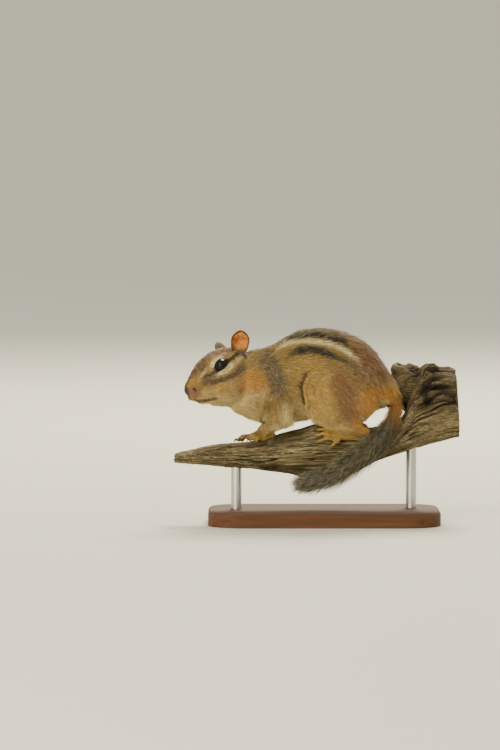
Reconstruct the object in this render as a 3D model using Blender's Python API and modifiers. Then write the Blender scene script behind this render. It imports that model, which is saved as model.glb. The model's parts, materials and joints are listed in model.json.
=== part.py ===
"""Eastern chipmunk crouching on a short length of broken branch, life size, on a plain display stand.

Metres, +Z up. The animal faces -X and its left side is towards -Y. The row's origin is the middle of the
stand's underside. Everything above the stand is modelled in a frame of its own, whose origin is at the level
of the feet, and lifted by one empty. Sizes in the tables are millimetres, turned to metres by mm().
"""

import math
import random

import bmesh
import bpy
import numpy as np
from mathutils import Euler, Matrix, Vector, bvhtree, kdtree, noise

GAP = 0.0003  # between neighbouring solids

# Body sizes of an adult, coat included. Heights are above the level of the feet.
NOSE_TIP = (-71.6, -14.0, 29.6)
HEAD_YAW = math.radians(25)  # the face turns towards the animal's left
HEAD_PITCH = math.radians(14)  # the nose points down
HEAD_ROLL = math.radians(12)  # the left side is held higher
EYE_RADIUS = 0.0040
EYE_PLACE = (22.4, -9.5, 6.3)  # from the nose tip, in the head's own frame
EAR_HEIGHT = 0.0150
EAR_WIDTH = 0.0108
EAR_THICKNESS = 0.0009
# Middle of each ear in the head's frame, where it points, and where its cup opens. The right one leans out.
EARS = {
    "left_ear": ((36.6, -11.2, 15.4), (0.42, -0.22, 1.0), (-0.40, -0.90, 0.0)),
    "right_ear": ((33.4, 11.6, 13.8), (0.12, 0.42, 1.0), (-0.55, 0.80, -0.2)),
}
TAIL_LOCK = 0.017  # the longest hairs of the tail
LEG_ENVELOPE = 1.3  # how far the cut that frees a leg from the trunk lies outside its forms

# Sections: place along the body, top, bottom and half width.
TRUNK_SECTIONS = [
    (-53, 44, 24, 6),
    (-45, 48.2, 17, 11.5),
    (-35, 51.4, 11.4, 15),
    (-25, 53.6, 9.2, 17.6),
    (-17, 57.6, 9.0, 19.4),
    (-9, 62.0, 9.6, 21.0),
    (5, 64.4, 12.2, 22.6),
    (18, 62.8, 12.0, 23.0),
    (30, 57.4, 12.4, 21.4),
    (38, 50.4, 17.0, 18.4),
    (45, 40.4, 19.6, 13.6),
    (50, 31.4, 20.6, 8.6),
    (52.4, 26.5, 22.5, 1.5),
]
HEAD_SECTIONS = [
    (0.3, 1.2, -2.6, 1.6),
    (1.6, 2.8, -5.2, 3.3),
    (4.2, 5.4, -8.5, 4.9),
    (8, 9.2, -10.6, 6.7),
    (12.5, 12.7, -12.3, 9.0),
    (19, 15.6, -15.2, 12.0),
    (26, 17.0, -17.8, 13.8),
    (33, 16.2, -18.6, 13.8),
    (40, 12.6, -15.0, 11.4),
    (44, 4.0, -6.0, 4.0),
]
# Lines cut in the face: back, up and radius.
MOUTH_LINE = [
    (4.2, -8.2, 0.5),
    (6.0, -9.5, 0.6),
    (8.5, -9.9, 0.6),
    (11.0, -9.8, 0.55),
    (13.5, -10.2, 0.5),
    (15.6, -10.8, 0.2),
]
NOSTRIL_LINE = [(2.6, -1.6, 0.4), (4.2, -2.4, 0.6), (4.8, -3.6, 0.55), (4.6, -4.8, 0.3)]
# Branch: place along it, top, bottom, middle's y and half width.
BRANCH_SECTIONS = [
    (-77.6, -7.6, -13.0, 1, 4.6),
    (-73, -6.6, -13.4, 1, 6.4),
    (-66, -5.0, -13.8, 0, 8.2),
    (-55, -2.6, -14.6, 0, 10.5),
    (-43, -1.2, -16.2, 0, 12.4),
    (-30, 0.8, -17.8, 0, 13.4),
    (-20, 3.2, -19.0, 0, 14.4),
    (-6, 6.2, -20.6, 0, 15.8),
    (3, 9.6, -21.8, 0, 16.6),
    (14, 8.6, -22.0, 0, 17.0),
    (26, 7.6, -18.6, 1, 17.0),
    (38, 7.8, -12.6, 3, 17.4),
    (48, 9.6, -9.4, 5, 18.4),
    (54, 15.0, -7.8, 7, 19.4),
    (60, 31.0, -6.0, 8, 20.4),
    (66, 40.4, -4.0, 9, 21.0),
    (76, 41.6, -1.4, 10, 21.0),
    (87, 39.6, 0.6, 11, 20.6),
]

# Display stand.
BASE_SIZE = (0.132, 0.074, 0.008)
BASE_CORNER = 0.020
BASE_MIDDLE_X = 8  # in the animal's frame
FOOT_LEVEL = 0.0475  # above the stand's underside
ROD_RADIUS = 0.003
ROD_PLACES = {"stand_rod_front": (-42, 0), "stand_rod_rear": (58, 8)}
ROD_SOCKET = 0.004  # how deep a rod sits in the base and in the branch


def mm(*values):
    return Vector([value * 0.001 for value in values])


HEAD_FRAME = Matrix.Translation(mm(*NOSE_TIP)) @ Euler((-HEAD_ROLL, -HEAD_PITCH, HEAD_YAW)).to_matrix().to_4x4()


# Scene and materials


def clear_scene():
    for obj in list(bpy.data.objects):
        bpy.data.objects.remove(obj)
    for name in ("chipmunk", "cutters"):
        collection = bpy.data.collections.new(name)
        bpy.context.scene.collection.children.link(collection)


def put_in(obj, collection_name):
    for collection in list(obj.users_collection):
        collection.objects.unlink(obj)
    bpy.data.collections[collection_name].objects.link(obj)
    return obj


def paint(obj, colour, roughness=0.8, metallic=0.0):
    finish = bpy.data.materials.new(obj.name)
    finish.use_nodes = True
    shader = finish.node_tree.nodes["Principled BSDF"]
    shader.inputs["Base Color"].default_value = (*colour, 1)
    shader.inputs["Roughness"].default_value = roughness
    shader.inputs["Metallic"].default_value = metallic
    obj.data.materials.clear()
    obj.data.materials.append(finish)


# Shapes


def link(name, mesh):
    obj = bpy.data.objects.new(name, mesh)
    bpy.data.collections["cutters"].objects.link(obj)
    return obj


def mesh_from(bm, name):
    mesh = bpy.data.meshes.new(name)
    bm.to_mesh(mesh)
    bm.free()
    return link(name, mesh)


def smooth_rows(rows, count):
    """Rows of numbers read from a smooth curve through the given rows, evenly in their first column."""
    rows = np.array(rows, float)
    at = rows[:, 0]
    slopes = np.gradient(rows, at, axis=0)
    out = []
    for place in np.linspace(at[0], at[-1], count):
        i = min(int(np.searchsorted(at, place, side="right")) - 1, len(at) - 2)
        span = at[i + 1] - at[i]
        t = (place - at[i]) / span
        out.append(
            (2 * t**3 - 3 * t**2 + 1) * rows[i]
            + (t**3 - 2 * t**2 + t) * span * slopes[i]
            + (3 * t**2 - 2 * t**3) * rows[i + 1]
            + (t**3 - t**2) * span * slopes[i + 1]
        )
    return out


def loft(name, rings):
    """A closed skin through rings of equally many points."""
    bm = bmesh.new()
    rows = [[bm.verts.new(point) for point in ring] for ring in rings]
    for lower, upper in zip(rows, rows[1:]):
        for i in range(len(lower)):
            j = (i + 1) % len(lower)
            bm.faces.new((lower[i], lower[j], upper[j], upper[i]))
    bm.faces.new(reversed(rows[0]))
    bm.faces.new(rows[-1])
    bmesh.ops.recalc_face_normals(bm, faces=bm.faces)
    return mesh_from(bm, name)


def egg_ring(along, top, bottom, half_width, middle_y=0.0, sides=28, widest=0.42):
    """A section across X, widest at a share of its height."""
    level = bottom + widest * (top - bottom)
    ring = []
    for i in range(sides):
        angle = math.tau * i / sides
        reach = top - level if math.sin(angle) > 0 else level - bottom
        ring.append(mm(along, middle_y + half_width * math.cos(angle), level + reach * math.sin(angle)))
    return ring


def ellipsoid(name, place, radii, turn=(0, 0, 0), frame=None, segments=24):
    bm = bmesh.new()
    bmesh.ops.create_uvsphere(bm, u_segments=segments, v_segments=segments * 2 // 3, radius=0.001)
    obj = mesh_from(bm, name)
    turned = Euler([math.radians(angle) for angle in turn]).to_matrix().to_4x4()
    place_at = Matrix.Translation(mm(*place)) @ turned @ Matrix.Diagonal((*radii, 1))
    obj.data.transform((frame or Matrix()) @ place_at)
    return obj


def tube(name, route, frame=None, steps=16, sides=2):
    """A round tube of changing radius, through points of x, y, z and radius."""
    lengths = [0.0]
    for before, after in zip(route, route[1:]):
        lengths.append(lengths[-1] + math.dist(before[:3], after[:3]))
    rows = smooth_rows([(length, *point) for length, point in zip(lengths, route)], steps)
    curve = bpy.data.curves.new(name, "CURVE")
    curve.dimensions = "3D"
    curve.bevel_depth = 0.001
    curve.bevel_resolution = sides
    curve.use_fill_caps = True
    spline = curve.splines.new("POLY")
    spline.points.add(len(rows) - 1)
    for point, row in zip(spline.points, rows):
        point.co = (*mm(*row[1:4]), 1)
        point.radius = row[4]
    obj = link(name, curve)
    mesh = evaluated_mesh(obj)
    bpy.data.objects.remove(obj)
    if frame:
        mesh.transform(frame)
    obj = link(name, mesh)
    weld(obj)
    return obj


def evaluated_mesh(obj):
    bpy.context.view_layer.update()
    graph = bpy.context.evaluated_depsgraph_get()
    return bpy.data.meshes.new_from_object(obj.evaluated_get(graph))


def apply_modifiers(obj):
    mesh = evaluated_mesh(obj)
    obj.modifiers.clear()
    obj.data = mesh


def weld(obj, distance=0.00001):
    bm = bmesh.new()
    bm.from_mesh(obj.data)
    bmesh.ops.remove_doubles(bm, verts=bm.verts, dist=distance)
    bmesh.ops.recalc_face_normals(bm, faces=bm.faces)
    bm.to_mesh(obj.data)
    bm.free()


def fuse_forms(name, forms, voxel, smoothing, triangles=None):
    """Blends overlapping closed forms into one smooth skin."""
    bm = bmesh.new()
    for form in forms:
        bm.from_mesh(form.data)
        bpy.data.objects.remove(form)
    obj = mesh_from(bm, name)
    remesh = obj.modifiers.new("blend", "REMESH")
    remesh.mode = "VOXEL"
    remesh.voxel_size = voxel
    soften = obj.modifiers.new("soften", "SMOOTH")
    soften.factor = 0.5
    soften.iterations = smoothing
    apply_modifiers(obj)
    if triangles:
        coarsen(obj, triangles)
    return obj


def coarsen(obj, triangles):
    """Brings a mesh down to about this many triangles."""
    has = sum(len(face.vertices) - 2 for face in obj.data.polygons)
    decimate = obj.modifiers.new("coarsen", "DECIMATE")
    decimate.ratio = min(1.0, triangles / has)
    apply_modifiers(obj)
    weld(obj, 0.00002)


def copy_of(obj, name):
    return link(name, obj.data.copy())


def grown(obj, by=GAP):
    """A copy whose surface stands out by a small distance."""
    bigger = copy_of(obj, obj.name + "_grown")
    swell = bigger.modifiers.new("swell", "DISPLACE")
    swell.strength = by
    swell.mid_level = 0.0
    apply_modifiers(bigger)
    return bigger


def combine(obj, other, operation, keep=False, solver="MANIFOLD"):
    modifier = obj.modifiers.new(operation.lower(), "BOOLEAN")
    modifier.operation = operation
    modifier.solver = solver
    modifier.object = other
    apply_modifiers(obj)
    if not keep:
        bpy.data.objects.remove(other)
    keep_largest(obj)
    return obj


def combine_collection(obj, pieces, solver="MANIFOLD"):
    """One union of a node's core with all the pieces that grow from it."""
    group = bpy.data.collections.new(obj.name + "_pieces")
    bpy.context.scene.collection.children.link(group)
    for piece in pieces:
        bpy.data.collections["cutters"].objects.unlink(piece)
        group.objects.link(piece)
    modifier = obj.modifiers.new("union", "BOOLEAN")
    modifier.operation = "UNION"
    modifier.solver = solver
    modifier.operand_type = "COLLECTION"
    modifier.collection = group
    apply_modifiers(obj)
    for piece in pieces:
        bpy.data.objects.remove(piece)
    bpy.data.collections.remove(group)
    keep_largest(obj)


def keep_largest(obj):
    """Leaves only the closed surface with the largest volume."""
    bm = bmesh.new()
    bm.from_mesh(obj.data)
    left = set(bm.faces)
    shells = []
    while left:
        shell, todo = set(), [left.pop()]
        while todo:
            face = todo.pop()
            shell.add(face)
            for edge in face.edges:
                for other in edge.link_faces:
                    if other in left:
                        left.discard(other)
                        todo.append(other)
        shells.append(shell)
    if len(shells) > 1:
        best = max(shells, key=shell_volume)
        bmesh.ops.delete(bm, geom=[f for s in shells if s is not best for f in s], context="FACES")
    bm.to_mesh(obj.data)
    bm.free()
    merge_close(obj)


def merge_close(obj):
    """Merges close points by the largest of a few distances that leaves the mesh closed, or parts those that touch."""
    for distance in (0.00004, 0.00002, 0.00001, 0.000004):
        bm = bmesh.new()
        bm.from_mesh(obj.data)
        bmesh.ops.remove_doubles(bm, verts=bm.verts, dist=distance)
        bmesh.ops.dissolve_degenerate(bm, edges=bm.edges, dist=0.000004)
        if all(edge.is_manifold for edge in bm.edges) and all(vert.is_manifold for vert in bm.verts):
            bm.to_mesh(obj.data)
            bm.free()
            return
        bm.free()
    part_touching(obj)


def part_touching(obj, near=0.000002, shift=0.000006):
    """Draws points that touch without being joined back towards their own neighbours."""
    bm = bmesh.new()
    bm.from_mesh(obj.data)
    bm.verts.ensure_lookup_table()
    tree = kdtree.KDTree(len(bm.verts))
    for vert in bm.verts:
        tree.insert(vert.co, vert.index)
    tree.balance()
    moves = {}
    for vert in bm.verts:
        if len(tree.find_range(vert.co, near)) > 1:
            around = [edge.other_vert(vert).co for edge in vert.link_edges]
            middle = sum(around, Vector()) / len(around)
            moves[vert] = (middle - vert.co).normalized() * shift
    for vert, move in moves.items():
        vert.co += move
    bm.to_mesh(obj.data)
    bm.free()


def shell_volume(faces):
    volume = 0.0
    for face in faces:
        first, *rest = [vert.co for vert in face.verts]
        for b, c in zip(rest, rest[1:]):
            volume += first.dot(b.cross(c)) / 6
    return volume


def half_space(name, point, outward):
    """A large box filling one side of a plane: the side that outward points to."""
    size = 0.4
    bm = bmesh.new()
    bmesh.ops.create_cube(bm, size=size)
    obj = mesh_from(bm, name)
    turn = Vector(outward).to_track_quat("Z", "Y").to_matrix().to_4x4()
    obj.data.transform(Matrix.Translation(point) @ turn @ Matrix.Translation((0, 0, size / 2)))
    return obj


def split(obj, name, point, towards):
    """Cuts off what lies past a plane as a new object, with a gap between the two."""
    normal = Vector(towards).normalized()
    piece = copy_of(obj, name)
    combine(piece, half_space("past", point + normal * GAP / 2, normal), "INTERSECT")
    combine(obj, half_space("before", point - normal * GAP / 2, -normal), "INTERSECT")
    return piece


def finish(obj, colour, roughness=0.85, metallic=0.0):
    put_in(obj, "chipmunk")
    paint(obj, colour, roughness, metallic)
    obj.data.shade_flat()
    return obj


# Head


def head_forms():
    rows = smooth_rows(HEAD_SECTIONS, 44)
    skull = loft("skull", [egg_ring(*row) for row in rows])
    skull.data.transform(HEAD_FRAME)
    forms = [skull, ellipsoid("chin", (10.5, 0, -9.3), (5.0, 3.4, 2.4), frame=HEAD_FRAME)]
    forms.append(ellipsoid("nose", (1.2, 0, -1.4), (1.7, 2.3, 2.4), frame=HEAD_FRAME))
    for side in (-1, 1):
        forms.append(ellipsoid("cheek", (24, side * 8.5, -7), (10, 6.2, 8.5), frame=HEAD_FRAME))
        forms.append(ellipsoid("whisker_pad", (6.6, side * 3.0, -5.0), (5.0, 3.0, 3.6), frame=HEAD_FRAME))
        forms.append(ellipsoid("brow", (24, side * 8.2, 10.6), (6.5, 3.0, 2.4), frame=HEAD_FRAME))
        forms.append(ellipsoid("socket_mound", (22.8, side * 8.6, 6.2), (6.2, 3.5, 5.4), frame=HEAD_FRAME))
    for place, upright, _ in EARS.values():
        forms.append(ellipsoid("ear_mound", Vector(place) - Vector(upright) * 6.4, (4.6, 3.8, 4.2), frame=HEAD_FRAME))
    return forms


def eye_centre(side):
    along, out, up = EYE_PLACE
    return HEAD_FRAME @ mm(along, -side * out, up)


def eyelid_ring(side):
    """A closed tube that lies on the eyeball along the edge of the lids, drawn out at the front corner."""
    look = Vector((-0.40, side * 0.87, 0.28)).normalized()
    forward = (Vector((-1, 0, -0.35)) - look * Vector((-1, 0, -0.35)).dot(look)).normalized()
    upward = look.cross(forward) * side
    reach = EYE_RADIUS + 0.00045
    steps = 20
    curve = bpy.data.curves.new("lids", "CURVE")
    curve.dimensions = "3D"
    curve.bevel_depth = 0.0008
    curve.bevel_resolution = 1
    spline = curve.splines.new("POLY")
    spline.use_cyclic_u = True
    spline.points.add(steps - 1)
    for i, point in enumerate(spline.points):
        angle = math.tau * i / steps
        corner = max(0.0, math.cos(angle)) ** 6
        half_open = math.radians(42 + 13 * math.cos(angle) ** 2 + 9 * corner)
        across = forward * math.cos(angle) + upward * math.sin(angle)
        spot = look * math.cos(half_open) + across * math.sin(half_open)
        point.co = (*(spot * reach), 1)
    obj = link("lids", curve)
    mesh = evaluated_mesh(obj)
    bpy.data.objects.remove(obj)
    mesh.transform(Matrix.Translation(eye_centre(side)) @ HEAD_FRAME.to_3x3().to_4x4())
    ring = link("lids", mesh)
    weld(ring)
    return ring


def groove(head, side, line):
    """A thin tube laid on the skin along a line of (back, up, radius) in the head's frame, to be cut away."""
    tree = bvhtree.BVHTree.FromObject(head, bpy.context.evaluated_depsgraph_get())
    inward = HEAD_FRAME.to_3x3() @ Vector((0, -side, 0))
    route = []
    for along, up, radius in line:
        hit = tree.ray_cast(HEAD_FRAME @ mm(along, side * 40, up), inward)[0]
        route.append((*(hit * 1000), radius))
    return tube("groove", route, steps=12, sides=1)


def make_head(head):
    for side in (-1, 1):
        combine(head, eyelid_ring(side), "UNION")
    for side in (-1, 1):
        for line in (MOUTH_LINE, NOSTRIL_LINE):
            combine(head, groove(head, side, line), "DIFFERENCE")
        eye = ellipsoid("socket", (0, 0, 0), [EYE_RADIUS * 1000 + 0.3] * 3, segments=14)
        eye.data.transform(Matrix.Translation(eye_centre(side)))
        combine(head, eye, "DIFFERENCE")


def make_eye(name, side):
    eye = ellipsoid(name, (0, 0, 0), [EYE_RADIUS * 1000] * 3, segments=14)
    eye.location = eye_centre(side)
    return finish(eye, (0.012, 0.010, 0.010), 0.08)


def make_ear(name, neighbours):
    """A thin open cup on a short root, standing in the skull."""
    place, upright, opening = EARS[name]
    bm = bmesh.new()
    bmesh.ops.create_uvsphere(bm, u_segments=14, v_segments=10, radius=1)
    whole = bm.verts[:] + bm.edges[:] + bm.faces[:]
    bmesh.ops.bisect_plane(bm, geom=whole, plane_co=(-0.22, 0, 0), plane_no=(1, 0, 0), clear_outer=True)
    ear = mesh_from(bm, name)
    ear.data.transform(Matrix.Diagonal((0.0046, EAR_WIDTH / 2, EAR_HEIGHT / 2, 1)))
    wall = ear.modifiers.new("wall", "SOLIDIFY")
    wall.thickness = EAR_THICKNESS
    wall.offset = -1.0
    apply_modifiers(ear)
    combine(ear, ellipsoid("root", (-1.6, 0, -6.4), (2.6, 3.4, 3.0), segments=12), "UNION")
    opening = Vector(opening).normalized()
    across = Vector(upright).cross(opening).normalized()
    turn = Matrix((opening, across, opening.cross(across))).transposed().to_4x4()
    ear.data.transform(HEAD_FRAME @ Matrix.Translation(mm(*place)) @ turn)
    for neighbour in neighbours:
        combine(ear, grown(neighbour), "DIFFERENCE")
    return finish(ear, (0.55, 0.34, 0.22), 0.7)


# Trunk and legs


def foreleg_forms(side, extra=0.0):
    """Shoulder, upper arm and forearm. The right hand reaches further ahead than the left one."""
    e = extra
    elbow, wrist = ((-15, 17.6, 14.0), (-26.5, 10.2, 5.2)) if side < 0 else ((-16.5, 16.5, 12.0), (-28.4, 6.6, 4.0))
    middle = [(a + b) / 2 for a, b in zip(elbow, wrist)]
    return [
        ellipsoid("shoulder", (-20, side * 12.5, 27), (10.5 + e, 7.0 + e, 14 + e), (0, 12, 0)),
        tube(
            "arm",
            [
                (-18.5, side * 15.5, 26, 7.6 + e),
                (elbow[0], side * elbow[1], elbow[2], 6.0 + e),
                (middle[0], side * middle[1], middle[2], 4.7 + e),
                (wrist[0], side * wrist[1], wrist[2], 3.0 + e),
            ],
        ),
        ellipsoid("elbow", (elbow[0] + 0.5, side * elbow[1], elbow[2]), [6.2 + e] * 3),
    ]


def hindleg_forms(side, extra=0.0):
    e = extra
    return [
        ellipsoid("haunch", (17.5, side * 16.5, 26.6), (21.3 + e, 9.8 + e, 18.6 + e), (0, 14, 0)),
        tube(
            "shank",
            [
                (4.6, side * 18.6, 18.6, 8.0 + e),
                (14, side * 20.2, 13.4, 7.6 + e),
                (22.5, side * 20.2, 9.4, 6.0 + e),
                (30, side * 18.8, 5.4, 3.6 + e),
            ],
        ),
        ellipsoid("knee", (5.4, side * 18.2, 19.0), (8.0 + e, 7.6 + e, 8.6 + e)),
        ellipsoid("heel", (30.5, side * 18.6, 5.4), [3.6 + e] * 3),
    ]


def trunk_forms():
    rows = smooth_rows(TRUNK_SECTIONS, 60)
    return [loft("trunk", [egg_ring(*row) for row in rows])]


def paw_digit(name, base, length, spread, lift, radius):
    """One toe, arched at its knuckle, and its claw."""
    turn = math.radians(spread)
    ahead = (-math.cos(turn), math.sin(turn))

    def at(share, height):
        return (base[0] + ahead[0] * length * share, base[1] + ahead[1] * length * share, height)

    toe = tube(
        name,
        [
            (*at(0, 2.2), radius * 1.15),
            (*at(0.45, lift), radius),
            (*at(0.8, 1.5), radius * 0.95),
            (*at(1.0, 0.75), radius * 0.6),
        ],
        steps=9,
    )
    claw = tube(
        name + "_claw",
        [(*at(0.9, 1.3), 0.5), (*at(1.13, 1.15), 0.42), (*at(1.32, 0.25), 0.12)],
        steps=4,
        sides=0,
    )
    return toe, claw


def make_paw(name, forms, digits, place, turn):
    """Joins palm and toes, adds the claws and sets the paw on the branch."""
    toes, claws = [], []
    for i, digit in enumerate(digits):
        toe, claw = paw_digit(f"{name}_{i}", *digit)
        toes.append(toe)
        claws.append(claw)
    paw = fuse_forms(name, forms + toes, voxel=0.00042, smoothing=2, triangles=280)
    combine_collection(paw, claws)
    frame = Matrix.Translation(mm(*place)) @ Euler([math.radians(angle) for angle in turn]).to_matrix().to_4x4()
    paw.data.transform(frame)
    return paw


def make_forepaw(name, side, place, turn):
    forms = [
        ellipsoid("palm", (0, 0, 1.9), (4.2, 3.3, 1.9)),
        tube("wrist", [(7.0, 0, 5.0, 2.7), (3.6, 0, 3.4, 2.8), (0.4, 0, 2.2, 2.2)], steps=8),
        ellipsoid("thumb", (1.2, -side * 3.0, 1.2), (1.3, 1.0, 0.9)),
    ]
    digits = [
        ((-1.8, -side * 2.2), 5.4, -side * 22, 2.9, 1.0),
        ((-2.6, -side * 0.8), 6.8, -side * 7, 3.2, 1.05),
        ((-2.6, side * 0.8), 6.6, side * 8, 3.2, 1.05),
        ((-1.8, side * 2.2), 5.2, side * 25, 2.9, 1.0),
    ]
    return make_paw(name, forms, digits, place, turn)


def make_hind_foot(name, side, place, turn):
    forms = [
        tube("instep", [(14.5, 0, 2.6, 2.2), (9, 0, 2.8, 2.7), (2, 0, 2.5, 2.9), (-4, 0, 2.2, 2.6)], steps=12),
        ellipsoid("ball", (-2.5, 0, 1.9), (4.6, 4.2, 1.9)),
    ]
    digits = [
        ((0.2, -side * 3.0), 6.6, -side * 24, 2.6, 1.1),
        ((-3.4, -side * 2.4), 10.0, -side * 9, 3.5, 1.15),
        ((-4.0, 0.0), 10.8, 0, 3.7, 1.2),
        ((-3.4, side * 2.4), 10.0, side * 10, 3.5, 1.15),
        ((0.0, side * 3.2), 7.6, side * 40, 2.8, 1.1),
    ]
    return make_paw(name, forms, digits, place, turn)


# Tail

TAIL_ROUTE = [
    (45, 0, 27, 5.0),
    (48.4, -3, 19.5, 4.5),
    (47, -8.5, 12.5, 4.1),
    (42.6, -15, 5.5, 3.8),
    (36, -20.5, -1, 3.5),
    (27, -23.5, -8.5, 3.2),
    (17.5, -22.5, -15.5, 2.8),
    (7, -17, -20.5, 2.2),
    (-2, -11, -23.5, 1.4),
]
TAIL_PART_AT = 0.55  # share of the tail's length where its two lengths meet


def tail_rows(count):
    lengths = [0.0]
    for before, after in zip(TAIL_ROUTE, TAIL_ROUTE[1:]):
        lengths.append(lengths[-1] + math.dist(before[:3], after[:3]))
    return smooth_rows([(length, *point) for length, point in zip(lengths, TAIL_ROUTE)], count)


def tail_lock(root, along, outward, length, rise, width=0.0052, thickness=0.0016):
    """A flat, tapered lock that leaves the tail at the angle rise and bends back along it."""
    bm = bmesh.new()
    bmesh.ops.create_cone(bm, segments=4, radius1=1, radius2=0, depth=1, cap_ends=True)
    bmesh.ops.rotate(bm, verts=bm.verts, matrix=Matrix.Rotation(math.radians(45), 3, "Z"))
    bmesh.ops.translate(bm, verts=bm.verts, vec=(0, 0, 0.5))
    for share in (0.35, 0.7):
        whole = bm.verts[:] + bm.edges[:] + bm.faces[:]
        bmesh.ops.bisect_plane(bm, geom=whole, plane_co=(0, 0, share), plane_no=(0, 0, 1))
    side = along.cross(outward).normalized()
    for vert in bm.verts:
        share = vert.co.z
        cone = max(1 - share, 0.001)
        full = (0.72 + 1.1 * share) * (1 - share) ** 0.7
        across = vert.co.x / cone * full * width / 2
        depth = vert.co.y / cone * full * thickness / 2
        angle = rise * (1 - 0.5 * share)
        path = along * math.cos(angle) + outward * math.sin(angle)
        out = outward * math.cos(angle) - along * math.sin(angle)
        vert.co = root + path * length * share + out * depth + side * across
    bmesh.ops.recalc_face_normals(bm, faces=bm.faces)
    return mesh_from(bm, "lock")


def make_tail(torso, obstacles):
    """The tail in two lengths, each a core with the locks that grow from it."""
    count = 46
    rows = tail_rows(count)
    part_row = round(TAIL_PART_AT * (count - 1))
    stretches = {"tail_upper": (0, part_row), "tail_lower": (part_row, count - 1)}
    draw = random.Random(7)
    nodes = []
    for name, (first, last) in stretches.items():
        core = tube(name, [tuple(row[1:5]) for row in rows[max(first - 1, 0) : last + 2]], steps=22, sides=1)
        locks = []
        for i in range(max(first - 5, 7) + 1, last - (1 if last < count - 1 else 0), 3):
            spot = mm(*rows[i][1:4])
            along = (mm(*rows[min(i + 1, count - 1)][1:4]) - mm(*rows[i - 1][1:4])).normalized()
            fullness = min(1.0, 0.25 + i / 20)
            rise = math.radians(46 - 22 * i / count)
            lift_up = (Vector((0, 0, 1)) - along * along.z).normalized()
            across = along.cross(lift_up)
            for k in range(6):
                angle = math.tau * (k + 0.5 * (i % 2)) / 6 + draw.uniform(-0.2, 0.2)
                outward = lift_up * math.cos(angle) + across * math.sin(angle)
                root = spot + outward * rows[i][4] * 0.001 * 0.45
                length = TAIL_LOCK * fullness * draw.uniform(0.88, 1.12)
                locks.append(tail_lock(root, along, outward, length, rise))
        combine_collection(core, locks, "EXACT")
        nodes.append(core)
    upper, lower = nodes
    point = mm(*rows[part_row][1:4])
    towards = mm(*rows[part_row + 1][1:4]) - mm(*rows[part_row - 1][1:4])
    combine(upper, half_space("before", point - towards.normalized() * GAP / 2, -towards), "INTERSECT")
    combine(lower, half_space("past", point + towards.normalized() * GAP / 2, towards), "INTERSECT")
    for node in nodes:
        for obstacle in obstacles:
            combine(node, grown(obstacle), "DIFFERENCE")
    combine(upper, grown(torso), "DIFFERENCE")
    for node in nodes:
        finish(node, (0.20, 0.15, 0.10), 0.9)
    return nodes


# Branch and stand


def bark_ring(along, top, bottom, middle_y, half_width, sides=40):
    """A branch section with long ridges and furrows."""
    middle = (top + bottom) / 2
    ring = []
    for i in range(sides):
        angle = math.tau * i / sides
        c, s = math.cos(angle), math.sin(angle)
        swell = 0.09 * noise.noise(Vector((c * 2.2, s * 2.2, along * 0.035)))
        ridge = 0.075 * noise.noise(Vector((c * 7, s * 7, along * 0.05 + 9)))
        reach = 1 + swell + ridge
        ring.append(mm(along, middle_y + half_width * reach * c, middle + (top - bottom) / 2 * reach * s))
    return ring


def make_branch():
    rows = smooth_rows(BRANCH_SECTIONS, 84)
    forms = [loft("branch", [bark_ring(*row) for row in rows])]
    forms.append(ellipsoid("knot", (57, 19, 29), (12.5, 12, 14), (0, -8, 0)))
    forms.append(ellipsoid("knot_lip", (50.5, 16, 39.5), (4.6, 6, 4.4), (0, 20, 0)))
    forms.append(ellipsoid("knot_rim", (69, 8, 39), (7, 10, 5), (0, -4, 0)))
    branch = fuse_forms("perch_branch", forms, voxel=0.0009, smoothing=1, triangles=1400)
    combine(branch, half_space("saw_cut", mm(86, 0, 0), (-1, 0, -0.06)), "INTERSECT")
    return branch


def branch_underside(branch, x, y):
    tree = bvhtree.BVHTree.FromObject(branch, bpy.context.evaluated_depsgraph_get())
    return tree.ray_cast(mm(x, y, -200), Vector((0, 0, 1)))[0].z


def cylinder(name, x, y, low, high, radius):
    bm = bmesh.new()
    bmesh.ops.create_cone(bm, segments=24, radius1=radius, radius2=radius, depth=high - low, cap_ends=True)
    obj = mesh_from(bm, name)
    obj.data.transform(Matrix.Translation((x * 0.001, y * 0.001, (low + high) / 2)))
    return obj


def make_stand(branch):
    """A flat base and two rods, each in a blind hole in the base and in the branch."""
    length, width, thickness = BASE_SIZE
    bm = bmesh.new()
    bmesh.ops.create_cube(bm, size=1)
    bmesh.ops.scale(bm, verts=bm.verts, vec=(length, width, thickness))
    upright = [e for e in bm.edges if abs(e.verts[0].co.z - e.verts[1].co.z) > thickness / 2]
    bmesh.ops.bevel(bm, geom=upright, offset=BASE_CORNER, segments=12, profile=0.5, affect="EDGES")
    rim = [e for e in bm.edges if all(v.co.z > thickness * 0.49 for v in e.verts)]
    bmesh.ops.bevel(bm, geom=rim, offset=0.0012, segments=1, profile=0.5, affect="EDGES")
    base = mesh_from(bm, "stand_base")
    base.data.transform(Matrix.Translation((BASE_MIDDLE_X * 0.001, 0, thickness / 2 - FOOT_LEVEL)))
    base_top = thickness - FOOT_LEVEL
    for name, (x, y) in ROD_PLACES.items():
        low = base_top - ROD_SOCKET
        high = branch_underside(branch, x, y) + ROD_SOCKET
        for carrier in (base, branch):
            hole = cylinder("hole", x, y, low - GAP, high + GAP, ROD_RADIUS + GAP)
            combine(carrier, hole, "DIFFERENCE")
        finish(cylinder(name, x, y, low, high, ROD_RADIUS), (0.62, 0.62, 0.63), 0.3, 1.0)
    return finish(base, (0.12, 0.07, 0.045), 0.4)


# The whole


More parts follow.
